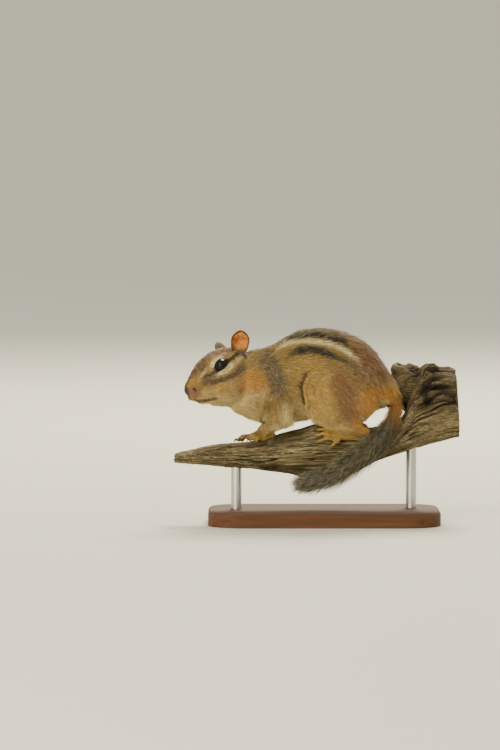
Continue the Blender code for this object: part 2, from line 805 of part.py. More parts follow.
def make_animal(branch):
    clearance = grown(branch)
    forms = trunk_forms() + head_forms()
    legs = {
        "left_foreleg": lambda e: foreleg_forms(-1, e),
        "right_foreleg": lambda e: foreleg_forms(1, e),
        "left_hind_leg": lambda e: hindleg_forms(-1, e),
        "right_hind_leg": lambda e: hindleg_forms(1, e),
    }
    for make_forms in legs.values():
        forms += make_forms(0.0)
    fine = fuse_forms("fine", forms, voxel=0.0008, smoothing=7)
    combine(fine, clearance, "DIFFERENCE", keep=True)
    head = copy_of(fine, "head")
    coarsen(head, 4600)
    body = fine
    coarsen(body, 2800)

    behind_head = HEAD_FRAME @ mm(37.5, 0, 0)
    backward = HEAD_FRAME.to_3x3() @ Vector((1, 0, -0.18))
    backward.normalize()
    combine(head, half_space("before", behind_head - backward * GAP / 2, -backward), "INTERSECT")
    combine(body, half_space("past", behind_head + backward * GAP / 2, backward), "INTERSECT")
    make_head(head)

    paws = {
        "left_forepaw": make_forepaw("left_forepaw", -1, (-27.6, -7.2, 0.4), (24, 0, 28)),
        "right_forepaw": make_forepaw("right_forepaw", 1, (-32.6, 5.6, -0.8), (-14, -5, 2)),
        "left_hind_foot": make_hind_foot("left_hind_foot", -1, (16.8, -13.9, 2.4), (58, 3, 0)),
        "right_hind_foot": make_hind_foot("right_hind_foot", 1, (16.8, 13.9, 2.4), (-58, 3, 0)),
    }
    carried = {
        "left_forepaw": "left_foreleg",
        "right_forepaw": "right_foreleg",
        "left_hind_foot": "left_hind_leg",
        "right_hind_foot": "right_hind_leg",
    }
    for paw in paws.values():
        combine(paw, clearance, "DIFFERENCE", keep=True)
    limbs = {}
    for name, make_forms in legs.items():
        envelope = fuse_forms(name + "_envelope", make_forms(LEG_ENVELOPE), voxel=0.001, smoothing=2, triangles=300)
        limb = copy_of(body, name)
        combine(limb, envelope, "INTERSECT", keep=True)
        combine(body, grown(envelope), "DIFFERENCE")
        bpy.data.objects.remove(envelope)
        limbs[name] = limb
    for paw_name, limb_name in carried.items():
        combine(limbs[limb_name], grown(paws[paw_name]), "DIFFERENCE")
    neck = split(body, "rest", mm(-29, 0, 32), (1, 0, 0.25))
    body, neck = neck, body
    body.name, neck.name = "torso", "neck"

    make_tail(body, [branch, paws["left_hind_foot"], limbs["left_hind_leg"]])
    for side, word in ((-1, "left"), (1, "right")):
        make_ear(word + "_ear", (head, neck))
        make_eye(word + "_eye", side)
    fur = (0.42, 0.27, 0.14)
    for node in (head, neck, body, *limbs.values()):
        finish(node, fur)
    for paw in paws.values():
        finish(paw, (0.55, 0.42, 0.28))
    bpy.data.objects.remove(clearance)


def main():
    clear_scene()
    branch = make_branch()
    make_animal(branch)
    make_stand(branch)
    finish(branch, (0.25, 0.19, 0.13), 0.95)
    lifted = bpy.data.objects.new("foot_level", None)
    bpy.context.scene.collection.objects.link(lifted)
    for obj in bpy.data.collections["chipmunk"].objects:
        obj.parent = lifted
    lifted.location = (-BASE_MIDDLE_X * 0.001, 0, FOOT_LEVEL)
    for obj in list(bpy.data.collections["cutters"].objects):
        bpy.data.objects.remove(obj)


main()
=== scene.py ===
import json
import math
import bpy
import numpy as np
from mathutils import Euler, Matrix, Vector, bvhtree, kdtree, noise

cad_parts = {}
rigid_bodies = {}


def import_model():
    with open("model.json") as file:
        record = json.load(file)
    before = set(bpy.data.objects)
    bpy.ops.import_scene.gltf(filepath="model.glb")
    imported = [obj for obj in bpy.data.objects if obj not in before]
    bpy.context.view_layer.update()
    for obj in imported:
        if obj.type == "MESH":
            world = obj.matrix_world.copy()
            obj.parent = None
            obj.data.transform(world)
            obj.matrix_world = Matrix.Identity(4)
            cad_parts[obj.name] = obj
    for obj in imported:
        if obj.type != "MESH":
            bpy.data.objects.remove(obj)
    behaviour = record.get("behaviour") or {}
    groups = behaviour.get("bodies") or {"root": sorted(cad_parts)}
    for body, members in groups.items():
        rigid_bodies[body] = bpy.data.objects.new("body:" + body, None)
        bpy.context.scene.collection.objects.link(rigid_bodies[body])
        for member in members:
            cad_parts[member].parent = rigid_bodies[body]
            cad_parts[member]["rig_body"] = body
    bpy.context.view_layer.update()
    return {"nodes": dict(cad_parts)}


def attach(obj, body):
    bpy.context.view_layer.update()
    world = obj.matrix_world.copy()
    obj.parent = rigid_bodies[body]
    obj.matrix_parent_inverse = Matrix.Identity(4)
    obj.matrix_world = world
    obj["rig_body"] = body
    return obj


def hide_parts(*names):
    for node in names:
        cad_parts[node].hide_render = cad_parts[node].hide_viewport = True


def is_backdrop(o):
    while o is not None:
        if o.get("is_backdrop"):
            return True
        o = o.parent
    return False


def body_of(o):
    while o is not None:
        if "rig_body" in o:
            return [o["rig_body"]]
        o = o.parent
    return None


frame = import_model()

# Frames of the body and the head, both in millimetres
# The body faces -X with its left side towards -Y. The head's frame runs back, across and up from the nose tip.
animalOrigin = (-8.0, 0.0, 47.5)
headPose = {"noseTip": (-71.6, -14.0, 29.6), "roll": -12, "pitch": -14, "yaw": 25}

bodyMatrix = Matrix.Scale(0.001, 4) @ Matrix.Translation(animalOrigin)
headTurn = Euler([math.radians(headPose[turn]) for turn in ("roll", "pitch", "yaw")])
headMatrix = bodyMatrix @ Matrix.Translation(headPose["noseTip"]) @ headTurn.to_matrix().to_4x4()
sides = {"left": -1, "right": 1}


# Small helpers for arrays of points

def carried(matrix, points):
    return np.asarray(points, float) @ np.array(matrix.to_3x3()).T + np.array(matrix.translation)


def ramp(values, low, high):
    share = np.clip((values - low) / (high - low), 0, 1)
    return share * share * (3 - 2 * share)


def unit(vectors):
    return vectors / np.maximum(np.linalg.norm(vectors, axis=-1, keepdims=True), 1e-12)


def wander(points, period, seed):
    # smooth noise between -1 and 1 with the given period, in the unit of the points
    shift = Vector((seed * 7.31, seed * 3.17, seed * 5.73))
    return np.array([noise.noise(Vector(point) / period + shift) for point in points])


def smoothRows(rows, count):
    # rows read evenly from a smooth curve through the given ones, by distance along their first three columns
    rows = np.array(rows, float)
    steps = np.linalg.norm(np.diff(rows[:, :3], axis=0), axis=1)
    at = np.concatenate([[0], np.cumsum(steps)])
    slopes = np.gradient(rows, at, axis=0)
    places = np.linspace(0, at[-1], count)
    i = np.clip(np.searchsorted(at, places, side="right") - 1, 0, len(at) - 2)
    span = (at[i + 1] - at[i])[:, None]
    t = (places - at[i])[:, None] / span
    return (
        (2 * t**3 - 3 * t**2 + 1) * rows[i]
        + (t**3 - 2 * t**2 + t) * span * slopes[i]
        + (3 * t**2 - 2 * t**3) * rows[i + 1]
        + (t**3 - t**2) * span * slopes[i + 1]
    )


# Small helpers for objects

def selectOnly(*objs):
    bpy.ops.object.select_all(action="DESELECT")
    for obj in objs:
        obj.select_set(True)
    bpy.context.view_layer.objects.active = objs[0]


def applied(obj, kind, **settings):
    selectOnly(obj)
    modifier = obj.modifiers.new(kind.lower(), kind)
    for name, value in settings.items():
        setattr(modifier, name, value)
    bpy.ops.object.modifier_apply(modifier=modifier.name)


def joined(name, pieces):
    selectOnly(*pieces)
    if len(pieces) > 1:
        bpy.ops.object.join()
    piece = bpy.context.view_layer.objects.active
    piece.name = name
    piece.data.name = name
    return piece


def merged(obj, distance=0.000002):
    selectOnly(obj)
    bpy.ops.object.mode_set(mode="EDIT")
    bpy.ops.mesh.select_all(action="SELECT")
    bpy.ops.mesh.remove_doubles(threshold=distance)
    bpy.ops.object.mode_set(mode="OBJECT")
    return obj


def copyOfNode(nodeName):
    piece = bpy.data.objects.new(nodeName + "_copy", frame["nodes"][nodeName].data.copy())
    bpy.context.scene.collection.objects.link(piece)
    piece.data.materials.clear()
    return merged(piece)


def pointsOf(obj):
    points = np.empty(len(obj.data.vertices) * 3)
    obj.data.vertices.foreach_get("co", points)
    return points.reshape(-1, 3)


def normalsOf(obj):
    normals = np.empty(len(obj.data.vertices) * 3)
    obj.data.vertex_normals.foreach_get("vector", normals)
    return normals.reshape(-1, 3)


def setPoints(obj, points):
    obj.data.vertices.foreach_set("co", np.asarray(points).ravel())
    obj.data.update()


def trianglesOf(obj):
    obj.data.calc_loop_triangles()
    corners = np.empty(len(obj.data.loop_triangles) * 3, np.int32)
    obj.data.loop_triangles.foreach_get("vertices", corners)
    return corners.reshape(-1, 3)


def treeOf(obj):
    return bvhtree.BVHTree.FromPolygons(pointsOf(obj).tolist(), trianglesOf(obj).tolist())


def setAttribute(mesh, name, values):
    attribute = mesh.attributes.get(name) or mesh.attributes.new(name, "FLOAT", "POINT")
    attribute.data.foreach_set("value", np.asarray(values, np.float32))


def smoothShaded(obj):
    obj.data.polygons.foreach_set("use_smooth", np.ones(len(obj.data.polygons), bool))
    obj.data.update()


def addBall(matrix, centre, radii, turn=(0, 0, 0), segments=24):
    bpy.ops.object.select_all(action="DESELECT")
    bpy.ops.mesh.primitive_uv_sphere_add(segments=segments, ring_count=segments * 2 // 3, radius=1)
    ball = bpy.context.object
    turned = Euler([math.radians(angle) for angle in turn]).to_matrix().to_4x4()
    ball.data.transform(matrix @ Matrix.Translation(centre) @ turned @ Matrix.Diagonal((*radii, 1)))
    return ball


def addStrand(matrix, route, steps=16, roundness=3):
    # a round closed tube through points of x, y, z and radius in the matrix's millimetres
    rows = smoothRows(route, steps)
    curve = bpy.data.curves.new("strand", "CURVE")
    curve.dimensions = "3D"
    curve.bevel_depth = 1
    curve.bevel_resolution = roundness
    curve.use_fill_caps = True
    spline = curve.splines.new("POLY")
    spline.points.add(len(rows) - 1)
    spline.points.foreach_set("co", np.column_stack([rows[:, :3], np.ones(len(rows))]).ravel())
    spline.points.foreach_set("radius", rows[:, 3])
    strand = bpy.data.objects.new("strand", curve)
    bpy.context.scene.collection.objects.link(strand)
    selectOnly(strand)
    bpy.ops.object.convert(target="MESH")
    strand = bpy.context.object
    merged(strand, 0.001)
    strand.data.transform(matrix)
    return strand


# Materials

def hexColour(code, alpha=1.0):
    channels = [int(code[i : i + 2], 16) / 255 for i in (1, 3, 5)]
    linear = [c / 12.92 if c <= 0.04045 else ((c + 0.055) / 1.055) ** 2.4 for c in channels]
    return (*linear, alpha)


def startMaterial(name, **shaderValues):
    material = bpy.data.materials.new(name)
    material.use_nodes = True
    shader = material.node_tree.nodes["Principled BSDF"]
    for socket, value in shaderValues.items():
        shader.inputs[socket.replace("_", " ")].default_value = value
    return material, material.node_tree, shader


def addNode(tree, kind, links=(), **settings):
    # adds a node, sets its properties and sockets by name, and links (output socket, input name or number)
    node = tree.nodes.new(kind)
    for name, value in settings.items():
        if hasattr(node, name):
            setattr(node, name, value)
        else:
            node.inputs[name.replace("_", " ")].default_value = value
    for output, socket in links:
        tree.links.new(output, node.inputs[socket])
    return node


def mixColour(tree, amount, first, second):
    # first and second are colour sockets or hex codes
    node = addNode(tree, "ShaderNodeMix", data_type="RGBA", clamp_factor=True)
    tree.links.new(amount, node.inputs["Factor"])
    for socket, value in ((6, first), (7, second)):
        if isinstance(value, str):
            node.inputs[socket].default_value = hexColour(value)
        else:
            tree.links.new(value, node.inputs[socket])
    return node.outputs[2]


def readMark(tree, name):
    return addNode(tree, "ShaderNodeAttribute", attribute_name=name).outputs["Fac"]


def combine(tree, operation, first, second, third=None):
    node = addNode(tree, "ShaderNodeMath", operation=operation)
    for i, value in enumerate((first, second, third)):
        if isinstance(value, (int, float)):
            node.inputs[i].default_value = value
        elif value is not None:
            tree.links.new(value, node.inputs[i])
    return node.outputs[0]


# Markings of the coat, shared by the skin and the hair
# Lines and patches are drawn on a side view: along and up on the body, back and up on the head.

strokes = [
    {"on": "body", "mark": "grey", "half": 5.5, "fade": 0.2, "share": 0.9,
     "line": [(-29, 54), (-24, 46), (-20, 37), (-19, 28), (-22, 20)]},
    {"on": "body", "mark": "rufous", "half": 6, "fade": 0.25, "share": 0.75,
     "line": [(13, 42), (17.5, 31), (21.5, 22), (25, 14), (25, 7)]},
    {"on": "body", "mark": "brown", "half": 1.6, "fade": 0.35, "share": 0.75,
     "line": [(12, 49), (18.5, 46.4), (23.5, 42.5), (26, 37)]},
    {"on": "body", "mark": "dark", "half": 1.35, "fade": 0.25,
     "line": [(-19, 53), (-12.4, 57.6), (-6.8, 59.2), (-1, 59.8), (5.5, 59.4), (12, 58.3), (18, 56.4),
              (28, 49.6)]},
    {"on": "body", "mark": "cream", "half": 1.2, "fade": 0.2,
     "line": [(-22, 48.6), (-17.2, 52.9), (-12.5, 55), (-6.8, 56.4), (0, 56.7), (6.4, 55.9), (13, 54.1),
              (19.5, 51.4), (25.2, 47.2), (29, 42)]},
    {"on": "body", "mark": "dark", "half": 1.95, "fade": 0.28,
     "line": [(-14, 45.4), (-10.6, 49.5), (-6.8, 51.4), (-1.2, 52.1), (4.4, 51.5), (10, 49.8), (15.7, 47.3),
              (20, 44.6)]},
    # a brown line along the fold in front of the thigh, where skinFolds cuts the skin: painted shade in that crease
    {"on": "body", "mark": "brown", "half": 0.9, "fade": 0.2, "beyond": 12,
     "line": [(0.5, 41.5), (-4.1, 36.3), (-5.5, 32), (-5, 27.8), (-3.6, 23), (-2.2, 19.2), (-0.8, 15.5)]},
    {"on": "head", "mark": "pale", "half": 0.8, "fade": 0.2, "share": 0.7,
     "line": [(6.4, 0.4), (10.2, 4.5), (13.2, 6.8), (15.2, 8.2)]},
    {"on": "head", "mark": "brown", "half": 1.0, "fade": 0.2, "share": 0.85,
     "line": [(5.4, 5.4), (8.6, 8), (12, 11), (15.9, 13.3), (20, 14.9), (25, 15.8)]},
    {"on": "head", "mark": "brown", "half": 0.8, "fade": 0.3, "share": 0.7,
     "line": [(9.4, 5.2), (13.3, 9), (16.4, 11.6)]},
    {"on": "head", "mark": "brown", "half": 1.5, "fade": 0.16, "share": 0.95,
     "line": [(7.5, 2.4), (10.4, 0.8), (14.3, -1.2), (18.3, -1.5), (22.7, -1.6), (27, -0.8), (31.1, 0.8), (37, 2.9)]},
    {"on": "head", "mark": "pale", "half": 1.3, "fade": 0.15, "share": 0.7,
     "line": [(26.4, 4.2), (31.6, 6.4), (35.6, 7.8)]},
    {"on": "head", "mark": "cream", "half": 1.35, "fade": 0.1,
     "line": [(16.9, 4), (16.7, 5.4), (17.1, 7), (18.2, 8.7), (20, 10), (22.4, 10.6), (25.2, 10.2)]},
    {"on": "head", "mark": "cream", "half": 1.55, "fade": 0.1,
     "line": [(16.4, 3.3), (17.8, 2.9), (19.8, 2.7), (22.2, 2.9), (25, 3.9), (28.4, 5.6)]},
    {"on": "head", "mark": "dark", "half": 1.0, "fade": 0.12, "line": [(24.2, 6.8), (27.4, 8), (30, 9), (34, 10.8)]},
    {"on": "head", "mark": "dark", "half": 0.95, "fade": 0.16, "share": 0.95,
     "line": [(20.2, 5), (18.6, 4.4), (16.8, 3.9), (13.3, 3.1), (10, 2.5)]},
    # a brown line along the mouth, over the groove cut there: painted shade in the mouth's crease
    {"on": "head", "mark": "brown", "half": 0.75, "fade": 0.15, "share": 0.85,
     "line": [(3.4, -7.6), (5.3, -8.7), (8.2, -9.4), (11.3, -9.8), (14, -10.2), (16.5, -11)]},
    # a dark line along the ear's base: painted shade in the fold there
    {"on": "head", "mark": "dark", "half": 0.8, "fade": 0.2, "line": [(34.3, 10.6), (36.1, 8.6), (38.8, 6.4)]},
]
patches = [
    {"on": "body", "mark": "grey", "at": (0, 64), "reach": (40, 9), "share": 0.9},
    {"on": "body", "mark": "rosy", "at": (36, 48), "reach": (17, 20), "share": 0.85},
    {"on": "body", "mark": "orange", "at": (38, 23), "reach": (15, 10), "share": 0.95},
    {"on": "body", "mark": "orange", "at": (31, 12), "reach": (9, 12), "share": 0.6},
    {"on": "body", "mark": "orange", "at": (-31, 30), "reach": (8, 11), "share": 0.8},
    {"on": "body", "mark": "golden", "at": (5, 25), "reach": (13, 20), "share": 0.95},
    {"on": "body", "mark": "golden", "at": (-3, 42), "reach": (13, 8), "share": 0.5},
    {"on": "body", "mark": "golden", "at": (-38, 20), "reach": (17, 15), "share": 0.95},
    {"on": "body", "mark": "golden", "at": (12, 5), "reach": (24, 7), "share": 0.7},
    {"on": "body", "mark": "pink", "at": (-32, 0), "reach": (14, 5), "share": 0.5},
    {"on": "body", "mark": "pink", "at": (8, 1), "reach": (18, 4), "share": 0.3},
    {"on": "body", "mark": "pale", "at": (-43, 18), "reach": (17, 15), "share": 0.95},
    {"on": "body", "mark": "pale", "at": (-9, 12), "reach": (13, 13), "share": 0.8},
    {"on": "body", "mark": "pale", "at": (-25, 8), "reach": (10, 9), "share": 0.75},
    {"on": "head", "mark": "golden", "at": (17, -6.5), "reach": (13, 6), "share": 0.8},
    {"on": "head", "mark": "orange", "at": (34, -8), "reach": (10, 8), "share": 0.85},
    {"on": "head", "mark": "pale", "at": (19, -17), "reach": (24, 7), "share": 0.7},
    {"on": "head", "mark": "pale", "at": (9, -6.5), "reach": (6, 4), "share": 0.4},
    {"on": "head", "mark": "rosy", "at": (20, 17), "reach": (20, 6.5), "share": 0.8},
    {"on": "head", "mark": "rosy", "at": (7, 8.5), "reach": (8, 4.5), "share": 0.6},
    {"on": "head", "mark": "pink", "at": (3.6, -3.6), "reach": (4.4, 4.6), "share": 0.9},
    {"on": "head", "mark": "brown", "at": (11.5, 0.8), "reach": (6, 4.2), "share": 0.6},
    {"on": "body", "mark": "golden", "at": (-20, 8), "reach": (10, 9), "share": 0.7},
    {"on": "head", "mark": "brown", "at": (32.6, 1.2), "reach": (4.2, 2.2), "share": 0.8},
    {"on": "head", "mark": "grey", "at": (37, 14), "reach": (8, 7), "share": 0.5},
]
markNames = ["golden", "grey", "rufous", "orange", "pale", "rosy", "pink", "brown", "cream", "dark"]
medianStripe = {"half": 1.5, "from": (-34, -24), "to": (22, 34), "above": 48}
eyePlace = {"radius": 4.0, "back": 22.4, "out": 9.5, "up": 6.3}
nosePad = {"centre": (1.1, 0, -2.0), "radii": (3.3, 3.2, 3.3)}


def strokeShare(alongUp, stroke):
    line = np.array(stroke["line"], float)
    lengths = np.linalg.norm(np.diff(line, axis=0), axis=1)
    starts = np.concatenate([[0], np.cumsum(lengths)])
    nearest = np.full(len(alongUp), 1e9)
    where = np.zeros(len(alongUp))
    for first, second, length, start in zip(line, line[1:], lengths, starts):
        way = (second - first) / length
        t = np.clip((alongUp - first) @ way, 0, length)
        distance = np.linalg.norm(alongUp - first - t[:, None] * way, axis=1)
        closer = distance < nearest
        nearest = np.where(closer, distance, nearest)
        where = np.where(closer, (start + t) / starts[-1], where)
    fade = stroke["fade"]
    full = ramp(np.minimum(where, 1 - where), 0, fade)
    width = stroke["half"] * (0.5 + 0.5 * full)
    return stroke.get("share", 1) * (0.2 + 0.8 * full) * (1 - ramp(nearest, width * 0.65, width * 1.35))


def markings(points, normals):
    # shares of each mark at points of the row's frame
    body = carried(bodyMatrix.inverted(), points)
    head = carried(headMatrix.inverted(), points)
    onHead = 1 - ramp(head[:, 0], 38, 44)
    views = {"body": body[:, [0, 2]], "head": head[:, [0, 2]]}
    shares = {"body": 1 - onHead, "head": onHead}
    marks = {name: np.zeros(len(points)) for name in markNames}
    for patch in patches:
        offset = (views[patch["on"]] - patch["at"]) / patch["reach"]
        value = patch["share"] * (1 - ramp(np.linalg.norm(offset, axis=1), 0.45, 1.15)) * shares[patch["on"]]
        mark = marks[patch["mark"]]
        marks[patch["mark"]] = 1 - (1 - mark) * (1 - value)
    for stroke in strokes:
        value = strokeShare(views[stroke["on"]], stroke) * shares[stroke["on"]]
        value = value * (np.abs(body[:, 1]) > stroke.get("beyond", 2))
        marks[stroke["mark"]] = np.maximum(marks[stroke["mark"]], value)
    stripe = 1 - ramp(np.abs(body[:, 1]), medianStripe["half"] * 0.7, medianStripe["half"] * 1.4)
    stripe = stripe * ramp(body[:, 0], *medianStripe["from"]) * (1 - ramp(body[:, 0], *medianStripe["to"]))
    marks["dark"] = np.maximum(marks["dark"], stripe * (body[:, 2] > medianStripe["above"]) * (1 - onHead))
    bridge = (1 - ramp(np.abs(head[:, 1]), 1.2, 2.6)) * ramp(head[:, 2], 0.5, 2) * (1 - ramp(head[:, 0], 5, 10))
    marks["dark"] = np.maximum(marks["dark"], 0.85 * bridge * onHead)
    under = ramp(-normals[:, 2], 0.15, 0.75) * (1 - ramp(body[:, 2], 24, 34)) * (body[:, 0] < 44)
    marks["pale"] = 1 - (1 - marks["pale"]) * (1 - 0.9 * under * (body[:, 2] > 7))
    return marks


# Lie of the coat: place, direction, length in millimetres and lift in degrees, on the left side
# They are mirrored to the right side, and every point takes a mean of those nearest to it.

bodyLie = [
    ((-36, 0, 53), (1, 0, 0.1), 4.0, 14),
    ((-14, -6, 60), (1, 0, 0.2), 5.0, 15),
    ((8, -6, 65), (1, 0, -0.05), 5.4, 16),
    ((30, -6, 58), (0.85, 0, -0.5), 6.0, 18),
    ((44, -4, 42), (0.5, 0, -0.85), 6.4, 21),
    ((51, -3, 28), (0.35, 0, -0.95), 5.6, 20),
    ((-6, -19, 48), (1, 0, -0.12), 4.8, 15),
    ((12, -23, 44), (1, 0, -0.28), 4.8, 15),
    ((-6, -22, 32), (0.95, 0, -0.35), 4.8, 15),
    ((-6, -20, 18), (1, 0, -0.2), 5.2, 17),
    ((17, -27, 38), (0.85, 0, -0.55), 4.6, 14),
    ((24, -27, 26), (0.7, 0, -0.7), 4.8, 15),
    ((36, -22, 30), (0.5, 0, -0.85), 5.4, 17),
    ((6, -27, 20), (0.75, 0, -0.6), 3.8, 13),
    ((18, -27, 13), (0.85, 0, -0.5), 3.2, 12),
    ((29, -22, 6), (0.5, 0, -0.6), 2.4, 12),
    ((10, 0, 11), (1, 0, 0), 5.6, 18),
    ((-15, 0, 10), (1, 0, 0), 5.6, 18),
    ((-35, 0, 14), (0.9, 0, -0.3), 5.0, 18),
    ((-48, 0, 22), (0.8, 0, -0.6), 4.6, 16),
    ((-36, -15, 42), (1, 0, -0.15), 4.2, 14),
    ((-36, -14, 26), (0.9, 0, -0.45), 4.4, 15),
    ((-22, -18, 40), (0.75, 0, -0.6), 4.4, 14),
    ((-20, -20, 26), (0.3, 0, -1), 4.0, 13),
    ((-15, -23, 14), (-0.1, 0, -1), 3.2, 13),
    ((-21, -17, 9), (-0.75, 0.35, -0.55), 2.2, 12),
    ((-26, -11, 5), (-0.8, 0.2, -0.4), 1.4, 11),
    ((-31, -9, 2), (-0.95, 0.1, -0.2), 0.8, 10),
    ((-40, -6, 0), (-0.95, 0.1, -0.2), 0.7, 10),
    ((14, -16, 4), (-1, 0, -0.1), 1.1, 10),
    ((3, -14, 4), (-1, 0, -0.2), 0.8, 10),
    ((24, -17, 4), (-0.8, 0, -0.2), 1.3, 10),
]
headLie = [
    ((1, 0, 1), (1, 0, 0.5), 0.6, 10),
    ((5, 0, 7), (1, 0, 0.4), 1.4, 12),
    ((11, 0, 13), (1, 0, 0.3), 2.1, 13),
    ((19, 0, 17), (1, 0, 0.1), 2.6, 13),
    ((28, 0, 19), (1, 0, 0), 3.0, 14),
    ((37, 0, 16), (1, 0, -0.2), 3.4, 14),
    ((4, -5, -3), (1, -0.3, -0.1), 0.8, 11),
    ((9, -7.5, 0), (1, -0.3, 0.1), 1.8, 12),
    ((15, -10, 2), (1, -0.3, -0.1), 2.0, 12),
    ((15, -9.5, -6), (1, -0.2, -0.1), 2.5, 13),
    ((24, -13, -5), (1, -0.1, -0.1), 3.2, 14),
    ((33, -14, -6), (1, 0, -0.2), 3.8, 16),
    ((22, -11, 13), (1, -0.1, 0.1), 2.1, 12),
    ((31, -12.5, 6), (1, 0, 0.05), 2.7, 13),
    ((36, -12, 10), (1, 0, 0), 2.8, 13),
    ((17, -10, 6.5), (1, -0.4, 0.6), 1.3, 11),
    ((28, -12, 6), (1, 0, 0.1), 1.6, 12),
    ((22.4, -12, 1), (1, 0, -0.35), 1.5, 11),
    ((22.4, -11.5, 11), (1, 0, 0.4), 1.4, 11),
    ((8, 0, -11), (1, 0, -0.1), 1.7, 13),
    ((18, 0, -16), (1, 0, -0.1), 2.6, 15),
    ((31, 0, -18), (1, 0, -0.1), 4.0, 17),
]
tailRoute = [
    (45, 0, 27, 4.4),
    (48.4, -3, 19.5, 3.2),
    (47, -8.5, 12.5, 2.5),
    (42.6, -15, 5.5, 2.2),
    (36, -20.5, -1, 2.0),
    (27, -23.5, -8.5, 1.8),
    (17.5, -22.5, -15.5, 1.5),
    (7, -17, -20.5, 1.2),
    (-2, -11, -23.5, 0.8),
]


def lieGuides():
    rows = []
    for place, way, length, lift in bodyLie:
        for side in (1, -1):
            rows.append((*(place * np.array([1, side, 1])), *(way * np.array([1, side, 1])), length, lift))
    inBody = bodyMatrix.inverted() @ headMatrix
    for place, way, length, lift in headLie:
        for side in (1, -1):
            at = carried(inBody, place * np.array([1, side, 1]))
            turned = np.array(inBody.to_3x3() @ Vector(way * np.array([1, side, 1])))
            rows.append((*at, *unit(turned), length, lift))
    tail = smoothRows(tailRoute, 14)
    for row, after in zip(tail[2:], tail[3:]):
        rows.append((*row[:3], *unit(after[:3] - row[:3]), 1.2, 12))
    return np.array(rows)


guides = lieGuides()
guides[:, 3:6] = unit(guides[:, 3:6])
partingLift = 1.8


def lieOfCoat(points, normals):
    # direction along the skin, length in metres and lift in radians at points of the row's frame
    places = carried(bodyMatrix.inverted(), points)
    blended = np.empty((len(places), 5))
    for part in np.array_split(np.arange(len(places)), max(1, len(places) // 20000)):
        distance = ((places[part][:, None, :] - guides[None, :, :3]) ** 2).sum(axis=2)
        weights = 1 / (distance + 4) ** 2.5
        weights /= weights.sum(axis=1, keepdims=True)
        blended[part] = weights @ guides[:, 3:8]
    way = unit(blended[:, :3])
    across = (way * normals).sum(axis=1)
    # where the lie meets the skin head on, the hair parts and has to stand up to cover the middle
    parting = 1 + partingLift * ramp(np.abs(across), 0.75, 0.97)
    way = unit(way - normals * across[:, None])
    return way, blended[:, 3] * 0.001, np.radians(blended[:, 4]) * parting


# Skin: one closed surface under the coat, from the solids of flesh and finer feet

skinSize = {
    "closeGaps": 0.35, "voxel": 0.35, "smoothing": 5, "coatDepth": 1.1,
    "keptUnderCoat": 0.5, "kept": 0.64,
}
softened = [  # where the solids' joins are smoothed away: on what, where, how far, beyond which side and how often
    {"on": "body", "at": (-17, 25), "reach": (13, 14), "beyond": 8, "times": 45},
    {"on": "head", "at": (17, -13.5), "reach": (12, 6), "beyond": 0, "times": 40},
]
fleshNodes = ["head", "neck", "torso", "left_foreleg", "right_foreleg", "left_hind_leg", "right_hind_leg"]
pawPlaces = {
    "left_forepaw": ((-27.6, -7.2, 0.4), (24, 0, 28)),
    "right_forepaw": ((-32.6, 5.6, -0.8), (-14, -5, 2)),
    "left_hind_foot": ((16.8, -13.9, 2.4), (58, 3, 0)),
    "right_hind_foot": ((16.8, 13.9, 2.4), (-58, 3, 0)),
}
# toes of a left paw: base back and across, length, spread in degrees, arch and radius
foreToes = [
    ((-1.8, 2.2), 5.4, 22, 2.9, 1.0),
    ((-2.6, 0.8), 6.8, 7, 3.2, 1.05),
    ((-2.6, -0.8), 6.6, -8, 3.2, 1.05),
    ((-1.8, -2.2), 5.2, -25, 2.9, 1.0),
]
hindToes = [
    ((0.2, 3.0), 6.6, 24, 2.6, 1.1),
    ((-3.4, 2.4), 10.0, 9, 3.5, 1.15),
    ((-4.0, 0.0), 10.8, 0, 3.7, 1.2),
    ((-3.4, -2.4), 10.0, -10, 3.5, 1.15),
    ((0.0, -3.2), 7.6, -40, 2.8, 1.1),
]


def pawMatrix(name):
    place, turn = pawPlaces[name]
    return bodyMatrix @ Matrix.Translation(place) @ Euler([math.radians(a) for a in turn]).to_matrix().to_4x4()


def toesOf(name):
    # each toe as a function of its share and height, with its arch and radius
    side = sides[name.split("_")[0]]
    for (back, across), length, spread, arch, radius in foreToes if "fore" in name else hindToes:
        turn = -side * math.radians(spread)
        ahead = np.array([-math.cos(turn), math.sin(turn)]) * length

        def at(share, height, start=np.array([back, -side * across]), ahead=ahead):
            return (*(start + ahead * share), height)

        yield at, arch, radius


def pawForms(name):
    matrix = pawMatrix(name)
    side = sides[name.split("_")[0]]
    if "fore" in name:
        forms = [
            addBall(matrix, (0, 0, 1.9), (4.2, 3.3, 1.9)),
            addStrand(matrix, [(7, 0, 5, 2.7), (3.6, 0, 3.4, 2.8), (0.4, 0, 2.2, 2.2)], 8),
            addBall(matrix, (1.2, -side * 3, 1.2), (1.3, 1, 0.9)),
        ]
    else:
        forms = [
            addStrand(matrix, [(14.5, 0, 2.6, 2.2), (9, 0, 2.8, 2.7), (2, 0, 2.5, 2.9), (-4, 0, 2.2, 2.6)], 12),
            addBall(matrix, (-2.5, 0, 1.9), (4.6, 4.2, 1.9)),
        ]
    for at, arch, radius in toesOf(name):
        knuckles = [(*at(0, 2.2), radius * 1.1), (*at(0.45, arch), radius * 0.92)]
        tip = [(*at(0.75, 1.7), radius * 0.9), (*at(0.9, 1.1), radius * 0.95), (*at(1.0, 0.8), radius * 0.6)]
        forms.append(addStrand(matrix, knuckles + tip, 12))
    return forms


def eyeAxes(side):
    # the eye's centre and its outward, forward and upward directions, in the row's frame
    centre = headMatrix @ Vector((eyePlace["back"], side * eyePlace["out"], eyePlace["up"]))
    look = Vector((-0.40, side * 0.87, 0.28)).normalized()
    ahead = Vector((-1, 0, -0.35))
    forward = (ahead - look * ahead.dot(look)).normalized()
    upward = look.cross(forward) * side
    turn = headMatrix.to_3x3() * 1000
    return [np.array(centre)] + [unit(np.array(turn @ axis)) for axis in (look, forward, upward)]


